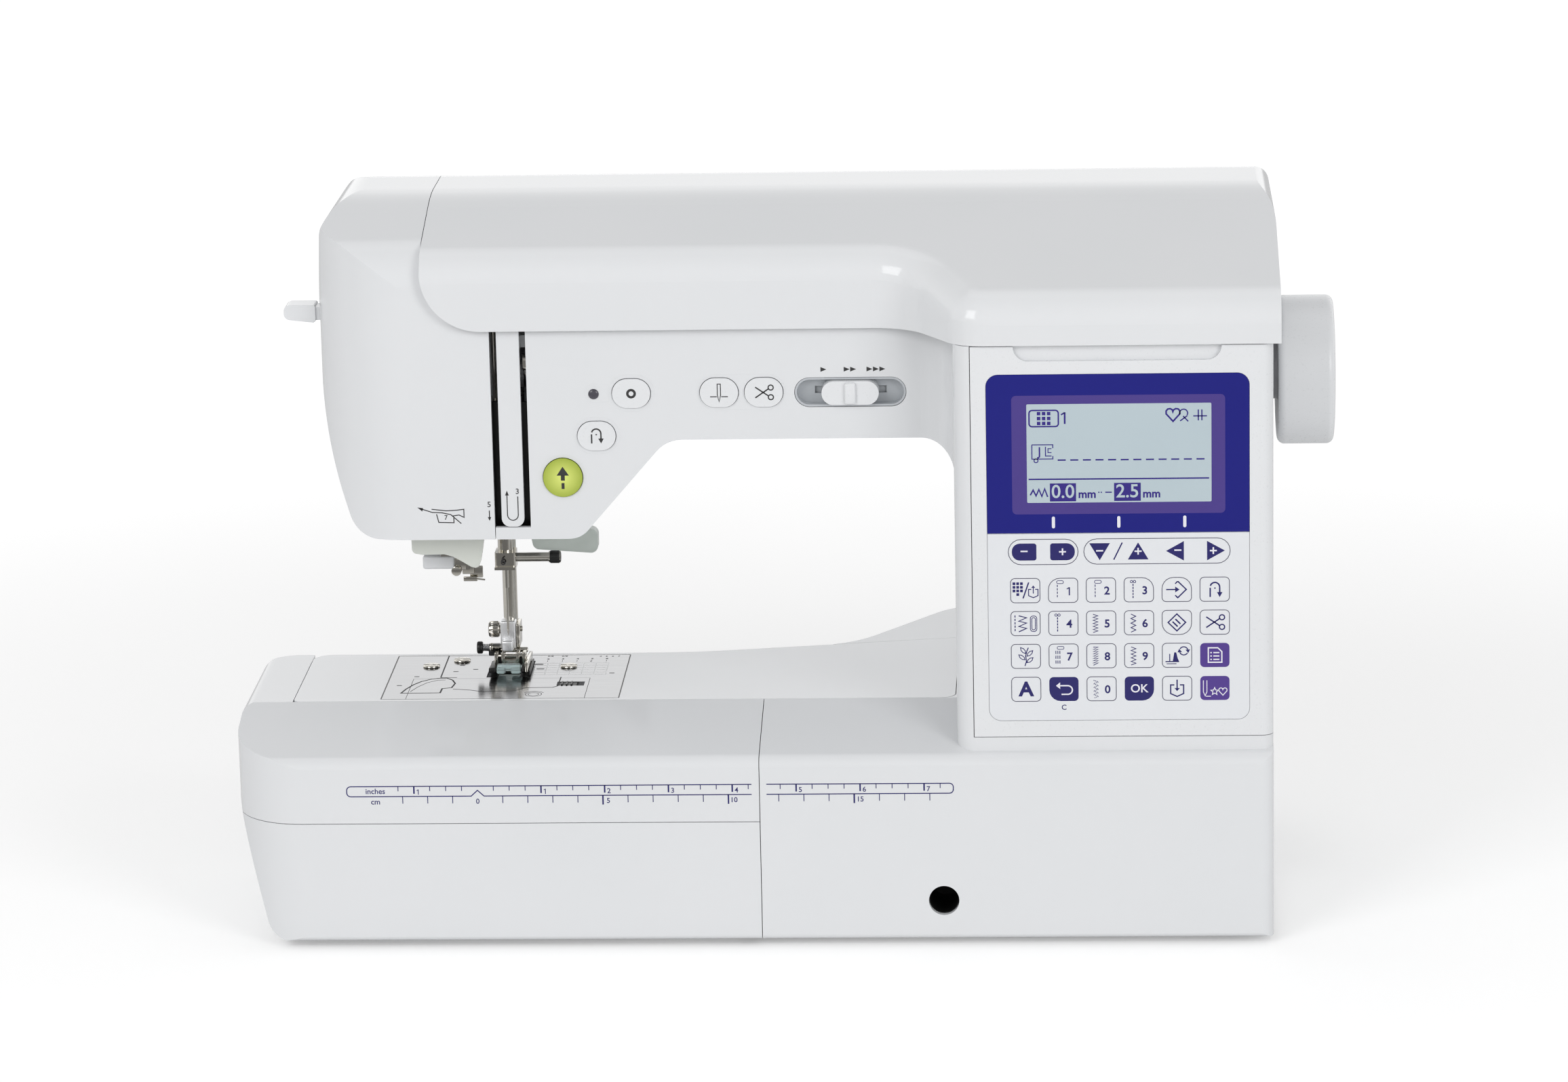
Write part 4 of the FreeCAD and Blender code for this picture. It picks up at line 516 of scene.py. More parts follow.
# Lens surround: violet print, slightly lighter than the filled keys
surround_ink = moulded("acrylic_printed_violet", "#52448F", "#4E4089", 0.15, 20, 0.001)
printed("display_surround", [tablet(359.5, 202.6, 84.6, 48.4, 1.8)], lens_y - lens_step, surround_ink)
printed("display_screen", [tablet(359.75, 203.2, 73.2, 40.2, 0.5)], lens_y - 2 * lens_step,
        display_glass)
pointers = [tablet(x, 175.0, 1.25, 4.8, 0.6) for x in (333.5, 359.5, 385.7)]
printed("display_pointers", pointers, lens_y - ink_step, pale_ink)
# Liquid crystal segments: dark violet, crisp and quite flat
segment_ink = moulded("display_segments_violet", "#3D318A", "#382C83", 0.25, 0.3, 0.001)
screen = ribbon(tablet(330.0, 217.5, 11.6, 6.6, 1.2), 0.6, True)
screen += [tablet(328.0 + 2.0 * i, 219.5 - 2.0 * j, 1.4, 1.4, 0.05) for i in range(3) for j in range(3)]
screen += letters("1", 338.2, 217.6, 6.6)
screen += moved(ribbon(heart, 0.4, True), 381.2, 218.6, 1.7)
screen += lines(0.5, arc(385.4, 219.2, 1.6, 200, -30, 8), [(384.0, 216.0), (386.9, 218.2)],
                [(385.2, 218.0), (387.2, 215.8)])
screen += lines(0.5, [(389.2, 218.0), (394.6, 218.0)], [(391.2, 220.6), (391.2, 216.2)],
                [(392.6, 220.6), (392.6, 216.2)])
screen += lines(0.4, [(325.2, 206.8), (325.2, 201.0), (333.5, 201.0), (333.5, 202.2)],
                [(325.2, 206.8), (333.5, 206.8), (333.5, 205.4)])
screen += letters("J", 328.2, 203.9, 5.0) + ribbon([(330.6, 206.0), (330.6, 202.2), (333.0, 202.2)], 0.4)
screen += ribbon([(333.0, 205.2), (331.6, 205.2), (331.6, 203.6), (333.0, 203.6)], 0.35)
screen += loop(326.8, 200.3, 0.8, 0.4, 10)
screen += dashes((335.4, 200.5), (395.0, 200.5), 3.2, 1.8, 0.6)
screen += ribbon([(323.8, 192.7), (395.4, 192.7)], 0.6)
wave = [(324.4 + 1.15 * i, 187.2 + (1.0 + 0.12 * i) * (1 if i % 2 else -1)) for i in range(7)]
screen += ribbon(wave, 0.6)
screen += letters("mm", 347.0, 186.4, 4.6, 0.03) + letters("mm", 372.6, 186.4, 4.6, 0.03)
screen += dashes((351.4, 187.2), (353.4, 187.2), 0.5, 0.5, 0.5)
screen += ribbon([(354.2, 187.2), (356.8, 187.2)], 0.5)
screen += [tablet(337.4, 187.3, 10.4, 7.4, 0.05), tablet(363.0, 187.3, 10.6, 7.4, 0.05)]
printed("display_segments", screen, lens_y - 3 * lens_step, segment_ink)
values = letters("0.0", 337.4, 187.4, 7.6) + letters("2.5", 363.0, 187.4, 7.6)
printed("display_values", values, lens_y - 4 * lens_step, display_glass)

# Buttons on the arm and the speed slider's marks.
# The start button is clear green acrylic lit from behind; the others are white ABS with dark printed signs.
# Each cap slides in its hole on a spring of the switch behind it.

# Green acrylic with a painted glow: yellow green, painted brighter in the middle where the lamp behind it
# would shine through
start_low, start_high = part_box("start_button")
start_middle = (start_low + start_high) / 2
start_green_painted_glow, lit_tree, lit_spot = new_finish("acrylic_green_painted_glow")
# Painted glow: the colour is lighter near the middle of the button's front, standing in for the lamp behind
# it
lit_away = add(lit_tree, "VectorMath", {"operation": "DISTANCE"},
               {0: lit_spot, 1: (start_middle.x, start_low.y, start_middle.z)})
painted_glow_share = add(lit_tree, "MapRange", {},
                {"Value": lit_away.outputs["Value"], "From Min": 1.5 / 1000, "From Max": 8.5 / 1000})
painted_glow_tint = add(lit_tree, "Mix", {"data_type": "RGBA"},
               {"Factor": painted_glow_share.outputs["Result"], "A": linear("#DDE87A"), "B": linear("#A3B444")})
lit_grain = add(lit_tree, "TexNoise", {}, {"Vector": lit_spot, "Scale": 700, "Detail": 2})
lit_skin = add(lit_tree, "Bump", {},
               {"Height": lit_grain.outputs["Fac"], "Strength": 0.3, "Distance": 0.01 / 1000})
lit_shader = add(lit_tree, "BsdfPrincipled", {},
                 {"Base Color": painted_glow_tint.outputs["Result"], "Roughness": 0.2, "Coat Weight": 0.4,
                  "Coat Roughness": 0.05, "Normal": lit_skin.outputs["Normal"]})
add(lit_tree, "OutputMaterial", {}, {"Surface": lit_shader.outputs[0]})
wear(start_green_painted_glow, "start_button")
# Charcoal screen ink: dark grey, satin
dark_ink = moulded("screen_ink_charcoal", "#403F40", "#3A393A", 0.4, 0.4, 0.003)


def box_mm(name):
    """A node's two corners in millimetres from the machine's left end, front and table."""
    return [(p.x * 1000 + half_width, p.y * 1000 + half_depth, p.z * 1000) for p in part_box(name)]


def middle(name):
    """The middle of a node across and up, in millimetres of the machine, with its front."""
    low, high = box_mm(name)
    return (low[0] + high[0]) / 2, low[1], (low[2] + high[2]) / 2


start_sign = [[(-2.5, 0.9), (2.5, 0.9), (0, 4.6)]] + ribbon([(0, 1.0), (0, -1.2)], 1.6)
start_sign += ribbon([(0, -2.2), (0, -4.7)], 1.2)
needle_sign = lines(0.4, [(-3.6, -1.6), (-0.9, -1.6)], [(0.9, -1.6), (3.6, -1.6)])
needle_sign += ribbon([(-0.65, 3.6), (-0.65, -1.0), (0, -3.6), (0.65, -1.0), (0.65, 3.6)], 0.36, True)
for name, sign in (("start_button", start_sign), ("reverse_button", moved(u_turn(), -0.2, 0.2)),
                   ("tie_off_button", loop(0, 0, 1.5, 1.0)), ("needle_position_button", needle_sign),
                   ("thread_cutter_button", scissors())):
    button_x, button_y, button_z = middle(name)
    printed(name + "_sign", moved(sign, button_x, button_z), button_y - ink_step, dark_ink, name)
arm_y = 45.0
arrows = []
for first_x, count in ((240.0, 1), (249.4, 2), (258.6, 3)):
    for i in range(count):
        tip = first_x + 2.6 * i
        arrows.append([(tip, 228.6), (tip + 2.4, 229.6), (tip, 230.6)])
printed("speed_marks", arrows, arm_y - ink_step, dark_ink)

# Measuring scale on the front of the bed, half on the extension and half on the base.
# Screen printed in navy on the white ABS; inches above the middle line, centimetres below.
# The zero peak stands under the needle.

scale_y, scale_mid, scale_high = 0.0, 64.4, 68.6
zero_x, inch, centimetre = 100.1, 25.78, 10.15
scale_left, seam_left, seam_right, scale_right = 47.0, 211.0, 217.0, 292.3
inch_number_z, cm_number_z, number_size = scale_mid + 1.8, scale_mid - 2.3, 3.0
bend, hair = 1.6, 0.42


def scale_ticks(start, end):
    """Inch marks in quarters up to the top line and centimetre marks down to the lower edge."""
    faces = []
    for i in range(-5, 31):
        x = zero_x + inch * i / 4
        if start < x < end and i != 0:
            reach, bold = (3.1, 1.5) if i % 4 == 0 else (2.0, 0.8)
            faces += ribbon([(x, scale_high), (x, scale_high - reach)], hair * bold)
    for i in range(-3, 19):
        x = zero_x + centimetre * i
        if start < x < end and i != 0:
            reach, bold = (3.9, 1.5) if i % 5 == 0 else (3.0, 0.8)
            faces += ribbon([(x, scale_mid), (x, scale_mid - reach)], hair * bold)
    return faces


left_scale = ribbon([(seam_left, scale_high)]
                    + arc(scale_left + bend, scale_high - bend, bend, 90, 180, 5)
                    + arc(scale_left + bend, scale_mid + bend, bend, 180, 270, 5)
                    + [(zero_x - 2.6, scale_mid), (zero_x, scale_mid + 2.4), (zero_x + 2.6, scale_mid),
                       (seam_left, scale_mid)], hair)
left_scale += scale_ticks(scale_left, seam_left)
for count in (-1, 1, 2, 3, 4):
    left_scale += letters(str(abs(count)), zero_x + inch * count + 1.7, inch_number_z, number_size)
for count, beside in ((0, 0), (5, 2.2), (10, 2.2)):
    left_scale += letters(str(count), zero_x + centimetre * count + beside, cm_number_z, number_size)
left_scale += letters("inches", 58.6, scale_mid + 2.1, 3.2) + letters("cm", 58.6, cm_number_z, 3.2)
printed("scale_on_extension", left_scale, scale_y - ink_step, navy_ink, "bed_extension")
right_scale = ribbon([(seam_right, scale_mid)]
                     + arc(scale_right - bend, scale_mid + bend, bend, -90, 0, 5)
                     + arc(scale_right - bend, scale_high - bend, bend, 0, 90, 5)
                     + [(seam_right, scale_high)], hair)
right_scale += scale_ticks(seam_right, scale_right)
for count in (5, 6, 7):
    right_scale += letters(str(count), zero_x + inch * count + 1.7, inch_number_z, number_size)
right_scale += letters("15", zero_x + centimetre * 15 + 2.4, cm_number_z, number_size)
printed("scale_on_base", right_scale, scale_y - ink_step, navy_ink)

# Threading marks on the head and on the strip between its slots.
# Fine charcoal screen print: numbers of the threading steps with arrows along the thread's way.

thread_marks = letters("5", 104.0, 174.6, 3.2) + ribbon([(104.0, 172.2), (104.0, 169.2)], 0.42)
thread_marks += [[(103.3, 169.4), (104.0, 167.8), (104.7, 169.4)]]
thread_marks += letters("7", 86.2, 169.3, 2.8)
thread_marks += ribbon([(75.8, 173.2), (80.6, 171.6), (84.6, 171.4), (88.2, 170.6), (92.4, 166.8)], 0.4)
thread_marks += [[(74.6, 173.7), (76.6, 172.0), (77.0, 173.4)]]
thread_marks += ribbon([(80.4, 172.9), (86.4, 172.2), (90.6, 172.4), (93.6, 172.8), (93.6, 169.4),
                        (91.6, 170.4), (88.8, 170.0)], 0.4)
thread_marks += ribbon([(82.4, 170.8), (83.2, 167.4), (89.4, 167.2), (89.4, 169.4)], 0.4)
printed("thread_marks_on_head", thread_marks, arm_y - ink_step, dark_ink)
strip_x = box_mm("thread_guide_strip")[0][0]
strip_marks = ribbon([(strip_x + 2.4, 178.6), (strip_x + 2.4, 171.0)]
                     + arc(strip_x + 4.6, 170.2, 2.2, 180, 360, 8) + [(strip_x + 6.8, 178.0)], 0.4)
strip_marks += [[(strip_x + 1.6, 178.4), (strip_x + 3.2, 178.4), (strip_x + 2.4, 180.4)]]
strip_marks += letters("3", strip_x + 6.7, 180.0, 3.2)
printed("thread_marks_on_strip", strip_marks, arm_y - ink_step, dark_ink)

# Needle plate engraving, the bobbin cover's outline and the guide lines.
# Laser marked in dark grey on the brushed stainless steel, with pale guide lines right of the needle.
# The cover's finger recess is a shallow pressing, drawn by its edge.

plate_top = 91.0
# Laser mark: dark grey oxide, dull against the brushed steel
laser_mark = moulded("laser_mark_grey", "#26262A", "#202024", 0.6, 0.4, 0.002)
# Guide line: satin etched, paler than the plate
pale_mark = moulded("etched_line_pale", "#E9EAEA", "#E2E3E4", 0.45, 0.4, 0.002)
plate_lines = ribbon([(77.2, 118.6), (77.2, 84.4)], 0.55) + ribbon([(77.2, 84.4), (84.0, 84.2)], 0.45)
recess = [(63.2, 60.4), (64.6, 66.6), (67.0, 73.4), (69.8, 78.4), (73.4, 81.8), (76.6, 83.3), (80.0, 83.4),
          (82.6, 80.2), (84.2, 75.0), (83.4, 68.4), (79.6, 67.1), (79.4, 60.5), (67.7, 60.3)]
plate_lines += ribbon(recess[::-1], 0.7, True)
plate_lines += ribbon([(66.8, 62.6), (69.2, 70.0), (72.4, 76.4), (76.4, 80.2), (79.6, 80.4)], 0.3)
plate_lines += ribbon([(84.2, 66.2), (91.8, 64.4), (96.9, 61.8), (110.2, 63.0), (114.6, 67.6),
                       (125.4, 67.8), (127.4, 70.0), (127.6, 83.9)], 0.5)
plate_lines += [tablet(116.5, 104.2, 4.0, 1.3, 0.6), tablet(117.8, 96.9, 3.4, 1.0, 0.45)]
for x, y in ((82.4, 116.6), (84.4, 103.4), (82.6, 93.6), (90.6, 97.0), (148.4, 89.6), (67.0, 86.0),
             (61.2, 72.2)):
    plate_lines.append(tablet(x, y, 2.2, 0.8, 0.35))
for i in range(6):
    x = 113.6 + 6.2 * i
    plate_lines += letters(str(i + 1), x, 112.6, 2.4) + ribbon([(x, 110.2), (x, 108.4)], 0.25)
for i in range(4):
    plate_lines += letters(str(4 + i), 141.6 + 2.6 * i, 116.4, 1.9)
plate_lines += letters("3/8", 120.4, 117.0, 2.0) + letters("5/8", 126.4, 117.0, 2.0)
plate_lines += letters("1", 138.0, 108.6, 2.2)
printed("plate_marks", plate_lines, plate_top + ink_step, laser_mark, top=True)
guide_lines, guide_step, guide_line = [], 5.1, 0.35
for i in range(7):
    x = 115.2 + guide_step * i
    guide_lines += ribbon([(x, 87.4), (x, 106.4)], guide_line)
for y in (88.0, 91.6, 95.2, 98.8, 102.4, 106.0):
    for i in range(6):
        guide_lines += ribbon([(115.6 + guide_step * i, y), (119.9 + guide_step * i, y)], guide_line)
printed("plate_guide_lines", guide_lines, plate_top + 0.025, pale_mark, top=True)
cover_marks = loop(118.4, 57.4, 2.2, 0.25) + loop(118.4, 57.4, 3.4, 0.25)
cover_marks += ribbon(arc(118.4, 57.4, 4.6, 150, 30, 6), 0.25)
printed("bobbin_turn_sign", cover_marks, plate_top + ink_step, laser_mark, top=True)

# Presser foot with its clear sole, black shoes, steel cross bars and the spring loaded pin.
# Acrylic sole moulded round a nickel plated frame; the black nylon button pushes the pin on its spring.
# It clips to the ankle on a cross pin and rides with the presser bar.

# Edges sharper than this stay sharp to the eye
crease = math.radians(40)


def block(name, low, high, soften):
    """A box between two corners in millimetres of the machine, its edges rounded."""
    bpy.ops.object.select_all(action="DESELECT")
    near, far = Vector(at(*low)), Vector(at(*high))
    bpy.ops.mesh.primitive_cube_add(size=1, location=(near + far) / 2)
    piece = bpy.context.object
    piece.name, piece.scale = name, far - near
    bpy.ops.object.transform_apply(location=True, rotation=True, scale=True)
    shape(piece, "BEVEL", width=soften / 1000, segments=3)
    bpy.ops.object.shade_smooth_by_angle(angle=crease)
    return piece


def bar(name, start, end, radius, soften, sides=32):
    """A round bar between two points, its end edges rounded."""
    bpy.ops.object.select_all(action="DESELECT")
    near, far = Vector(at(*start)), Vector(at(*end))
    turn = (far - near).to_track_quat("Z", "Y").to_euler()
    bpy.ops.mesh.primitive_cylinder_add(vertices=sides, radius=radius / 1000, depth=(far - near).length,
                                        location=(near + far) / 2, rotation=turn)
    piece = bpy.context.object
    piece.name = name
    bpy.ops.object.transform_apply(location=True, rotation=True, scale=True)
    shape(piece, "BEVEL", width=soften / 1000, segments=2, limit_method="ANGLE",
          angle_limit=math.radians(60))
    bpy.ops.object.shade_smooth_by_angle(angle=crease)
    return piece


def fit(piece, finish, slot, body):
    """Gives a piece its finish and the body that it rides on; slot is not used."""
    piece.data.materials.append(finish)
    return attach(piece, body)


def raise_toe(piece, lift):
    """Turns up the front end of a shoe or sole."""
    toe_length = 0.007
    front = min(v.co.y for v in piece.data.vertices)
    for v in piece.data.vertices:
        share = max(0.0, 1 - (v.co.y - front) / toe_length)
        v.co.z += lift / 1000 * share * share


# Clear acrylic: faint blue green, polished, with soft inner haze
clear_acrylic, clear_tree, clear_spot = new_finish("acrylic_clear")
clear_haze = add(clear_tree, "TexNoise", {}, {"Vector": clear_spot, "Scale": 1000 / 4, "Detail": 2})
clear_rough = add(clear_tree, "MapRange", {},
                  {"Value": clear_haze.outputs["Fac"], "To Min": 0.04, "To Max": 0.16})
clear_shader = add(clear_tree, "BsdfPrincipled", {},
                   {"Base Color": linear("#DCEAEA"), "Roughness": clear_rough.outputs["Result"],
                    "IOR": 1.49, "Transmission Weight": 0.75})
add(clear_tree, "OutputMaterial", {}, {"Surface": clear_shader.outputs[0]})
foot_steel = nickel_plate, "nickel", "presser"
foot_black = black_nylon, "black_plastic", "presser"
foot_left, foot_right, foot_front, foot_back, sole = 100.7, 110.6, 83.0, 108.0, 91.45
toes = [block("foot_toe_left", (foot_left, foot_front, sole), (104.3, 88.6, sole + 2.8), 0.7),
        block("foot_toe_right", (106.7, foot_front, sole), (foot_right, 88.6, sole + 2.8), 0.7)]
for toe in toes:
    raise_toe(toe, 1.4)
heel = block("foot_heel", (foot_left, 91.6, sole), (foot_right, foot_back, sole + 2.8), 0.7)
bridge = block("foot_bridge", (foot_left, 85.6, sole + 2.0), (foot_right, 88.4, sole + 4.6), 0.8)
for piece in (*toes, heel, bridge):
    fit(piece, clear_acrylic, "clear_plastic", "presser")
for name, low_x, high_x in (("foot_shoe_left", 97.4, 100.5), ("foot_shoe_right", 110.8, 112.2)):
    shoe = block(name, (low_x, foot_front + 0.5, sole), (high_x, foot_back - 6, sole + 2.2), 0.6)
    raise_toe(shoe, 1.8)
    fit(shoe, *foot_black)
side_plate = block("foot_side_plate", (112.4, foot_front + 1, sole + 0.4),
                   (113.8, foot_back - 1, sole + 4.8), 0.4)
raise_toe(side_plate, 1.2)
fit(side_plate, *foot_steel)
side_edge = block("foot_side_edge", (113.9, foot_front + 2, sole), (114.6, foot_back - 3, sole + 2.0), 0.25)
fit(side_edge, *foot_black)
frame_piece = block("foot_frame", (99.6, 93.0, sole + 2.6), (112.5, 103.0, sole + 5.0), 0.6)
fit(frame_piece, *foot_steel)
for i, x in enumerate((100.0, 102.8, 109.0, 111.6)):
    post = block(f"foot_post_{i}", (x - 0.8, 91.2, sole + 2.6), (x + 0.8, 96.4, sole + 8.2), 0.35)
    fit(post, *foot_steel)
for i, x in enumerate((101.4, 110.3)):
    cheek = block(f"foot_cheek_{i}", (x - 0.55, 92.4, sole + 2.6), (x + 0.55, 97.0, sole + 6.6), 0.3)
    fit(cheek, *foot_black)
fit(bar("foot_cross_pin", (99.4, 99.0, 98.9), (112.6, 99.0, 98.9), 1.1, 0.2), *foot_steel)
fit(bar("foot_front_bar", (99.4, 92.4, 98.0), (112.6, 92.4, 98.0), 0.8, 0.2), *foot_steel)
fit(block("foot_latch", (96.2, 97.2, 96.6), (101.2, 101.0, 101.4), 0.6), *foot_black)
pin_y, pin_z = 96.6, 100.6
fit(bar("foot_pin", (92.0, pin_y, pin_z), (103.4, pin_y, pin_z), 0.65, 0.1), *foot_steel)
fit(bar("foot_button", (91.6, pin_y, pin_z), (94.0, pin_y, pin_z), 2.6, 0.5, 24), *foot_black)
fit(bar("foot_collar", (97.0, pin_y, pin_z), (98.2, pin_y, pin_z), 1.8, 0.2), *foot_steel)
coil = bpy.data.curves.new("foot_spring", "CURVE")
coil.dimensions, coil.bevel_depth, coil.bevel_resolution = "3D", 0.22 / 1000, 2
turns, steps, coil_start, coil_length, coil_radius = 5, 14, 94.0, 3.0, 1.4
path = coil.splines.new("POLY")
path.points.add(turns * steps)
for i, point in enumerate(path.points):
    angle = 2 * math.pi * i / steps
    point.co = (*at(coil_start + coil_length * i / (turns * steps), pin_y + coil_radius * math.cos(angle),
                    pin_z + coil_radius * math.sin(angle)), 1)
bring("foot_spring", coil)
bpy.ops.object.convert(target="MESH")
bpy.ops.object.shade_smooth()
fit(bpy.context.object, ground_steel, "steel", "presser")
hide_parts("presser_foot")

# Ankle block that carries the foot on the presser bar, with its thumb screw.
# Chrome plated zinc casting with a slot for the screw; the screw's head is knurled and coin slotted.

# Satin chrome plate: very pale, with a soft even sheen
chrome_plate = worked_metal("chrome_plate_satin", "#FAFAFB", "#F1F2F3", 0.42, 3.0, 0.001, (1, 1, 1))
ankle = block("ankle_block", (101.6, 95.6, 99.9), (108.0, 108.0, 112.0), 0.7)
fit(ankle, chrome_plate, "nickel", "presser")
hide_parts("foot_holder")
nose = block("ankle_nose", (102.4, 91.4, 99.9), (107.2, 96.2, 104.6), 0.8)
fit(nose, chrome_plate, "nickel", "presser")
fit(block("ankle_cheek", (108.1, 96.4, 100.4), (109.6, 107.4, 110.4), 0.4), *foot_steel)
fit(bar("ankle_rivet", (109.4, 101.6, 107.4), (110.4, 101.6, 107.4), 1.2, 0.3), *foot_steel)
thumb_y, thumb_z, thumb_ribs = 101.6, 107.2, 20
screw_head = bar("foot_screw_head", (96.2, thumb_y, thumb_z), (100.9, thumb_y, thumb_z), 3.3, 0.7)
fit(screw_head, *foot_steel)
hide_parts("foot_screw")
fit(bar("foot_screw_stem", (100.6, thumb_y, thumb_z), (101.9, thumb_y, thumb_z), 1.9, 0.1), *foot_steel)
for i in range(thumb_ribs):
    angle = math.radians(360 / thumb_ribs * i)
    rib_y, rib_z = thumb_y + 3.2 * math.cos(angle), thumb_z + 3.2 * math.sin(angle)
    rib = bar(f"foot_screw_rib_{i}", (97.2, rib_y, rib_z), (100.2, rib_y, rib_z), 0.22, 0.08, 8)
    fit(rib, *foot_steel)

# Needle clamp's number and knob, and the hook of the needle threader below the head.
# The knob is black nylon with pressed ribs; the threader's carriage is white ABS with nickel plated plates.
# The clamp rides with the needle bar, and the carriage slides down its rod with the threader lever.

clamp_front, clamp_z = middle("needle_clamp")[1:]
printed("clamp_number", letters("6", 105.0, clamp_z + 0.2, 4.6), clamp_front - ink_step, dark_ink,
        "needle_bar")
knob_end, knob_z = box_mm("needle_clamp_screw")[1][0], middle("needle_clamp_screw")[2]
knob_y, knob_ribs = 90.0, 12
knob = bar("clamp_knob", (knob_end - 4.8, knob_y, knob_z), (knob_end + 0.12, knob_y, knob_z), 2.5, 0.6, 24)
fit(knob, black_nylon, "black_plastic", "needle_bar")
for i in range(knob_ribs):
    angle = math.radians(360 / knob_ribs * i)
    rib_y, rib_z = knob_y + 2.45 * math.cos(angle), knob_z + 2.45 * math.sin(angle)
    rib = bar(f"clamp_knob_rib_{i}", (knob_end - 4.2, rib_y, rib_z), (knob_end - 0.6, rib_y, rib_z),
              0.28, 0.1, 8)
    fit(rib, black_nylon, "black_plastic", "needle_bar")
carriage = block("threader_carriage", (72.2, 77.2, 139.4), (85.2, 84.8, 145.0), 1.0)
fit(carriage, white_abs, "white_abs", "threader")
pivot = bar("threader_pivot", (86.0, 77.6, 138.4), (86.0, 84.0, 138.4), 2.1, 0.4)
fit(pivot, nickel_plate, "nickel", "threader")
threader_plates = ((84.8, 90.4, 138.6, 143.4, 79.4), (88.2, 93.0, 136.4, 142.4, 80.6),
                   (91.2, 96.6, 134.6, 139.6, 81.8), (88.6, 94.4, 133.4, 135.4, 80.2))
for i, (low_x, high_x, low_z, high_z, near_y) in enumerate(threader_plates):
    plate = block(f"threader_plate_{i}", (low_x, near_y, low_z), (high_x, near_y + 1.0, high_z), 0.3)
    fit(plate, nickel_plate, "nickel", "threader")
hook = bar("threader_hook", (94.0, 82.2, 134.0), (97.4, 82.2, 133.6), 0.35, 0.05, 12)
fit(hook, nickel_plate, "nickel", "threader")

# Thread guard that hangs under the head in front of the threader.
# A thin frosted moulding with one deep lobe, left bright and smooth from the tool.

# Milky polypropylene: off white with a faint green cast, glossy
milky_plastic = moulded("polypropylene_milky", "#E3E6DF", "#DBDED6", 0.2, 2.0, 0.002)
guard_y, guard_thick, guard_soften = 65.8, 1.6, 0.4
guard_line = [(69.2, 158.0), (69.4, 150.4), (70.4, 149.2), (74.0, 148.6), (82.6, 148.8), (86.2, 147.8),
              (90.0, 145.6), (93.6, 143.4), (95.4, 142.9), (96.8, 143.4), (97.8, 146.0), (98.6, 150.0),
              (99.2, 154.0), (100.0, 158.0)]
guard_mesh = bpy.data.meshes.new("thread_guard_lobe")
guard_mesh.from_pydata([at(x, guard_y, z) for x, z in guard_line], [], [list(range(len(guard_line)))])
guard = bring("thread_guard_lobe", guard_mesh)
shape(guard, "SOLIDIFY", thickness=guard_thick / 1000, offset=0)
bpy.ops.object.mode_set(mode="EDIT")
bpy.ops.mesh.select_all(action="SELECT")
bpy.ops.mesh.normals_make_consistent(inside=False)
bpy.ops.object.mode_set(mode="OBJECT")
shape(guard, "BEVEL", width=guard_soften / 1000, segments=2)
bpy.ops.object.shade_smooth_by_angle(angle=crease)
fit(guard, milky_plastic, "white_abs", "machine_body")
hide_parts("thread_guard")

# Tie-off lamp, the slider's grip ridge and track, and the raised rims round the buttons.
# The lamp is a smoky acrylic dome; ridge and rims are white ABS, moulded with their neighbours.
# The track is a film of grey ABS behind the slider.

# Smoky acrylic: dark grey, glossy
smoky_acrylic = moulded("acrylic_smoky", "#56545C", "#4C4A52", 0.1, 10, 0.001)
lamp_x, lamp_z, lamp_radius = 147.9, 220.3, 2.15
bpy.ops.object.select_all(action="DESELECT")
bpy.ops.mesh.primitive_uv_sphere_add(segments=24, ring_count=12, radius=lamp_radius / 1000,
                                     location=at(lamp_x, arm_y - 0.05, lamp_z))
dome = bpy.context.object
dome.name, dome.scale = "tie_off_lamp_dome", (1, 0.4, 1)
bpy.ops.object.transform_apply(location=True, rotation=True, scale=True)
bpy.ops.object.shade_smooth()
fit(dome, smoky_acrylic, "grey_abs", "machine_body")
slider_x, slider_front, slider_z = middle("speed_slider")
ridge = block("slider_ridge", (slider_x - 2.3, slider_front - 1.6, slider_z - 4.5),
              (slider_x + 2.3, slider_front + 0.4, slider_z + 4.5), 1.2)
fit(ridge, satin_abs, "panel_abs", "speed_slider")
track_y = box_mm("speed_slider")[1][1] + 0.06
track = block("slider_track_film", (slider_x - 16, track_y, slider_z - 2.5),
              (slider_x + 16, track_y + 0.1, slider_z + 2.5), 0.02)
fit(track, grey_abs, "grey_abs", "machine_body")
rims, rim_line = [], 0.3
for name, wide, tall, grow in (("reverse_button", 15.5, 12.0, 1.6), ("tie_off_button", 15.5, 12.0, 1.6),
                               ("start_button", 16.0, 16.0, 1.4)):
    x, _, z = middle(name)
    rims += ribbon(tablet(x, z, wide + 2 * grow, tall + 2 * grow, tall / 2 + grow - 0.05), rim_line, True)
needle_x, _, pair_z = middle("needle_position_button")
cutter_x = middle("thread_cutter_button")[0]
rims += ribbon(tablet((needle_x + cutter_x) / 2, pair_z, cutter_x - needle_x + 17.6, 14.6, 7.2), rim_line,
               True)
tie_x, _, tie_z = middle("tie_off_button")
rims += ribbon([(tie_x - 9.2, tie_z + 3.6)] + arc(lamp_x, tie_z, 3.8, 80, 280, 10)
               + [(tie_x - 9.2, tie_z - 3.6)], rim_line)
printed("button_rims", rims, arm_y - 0.05, white_abs)
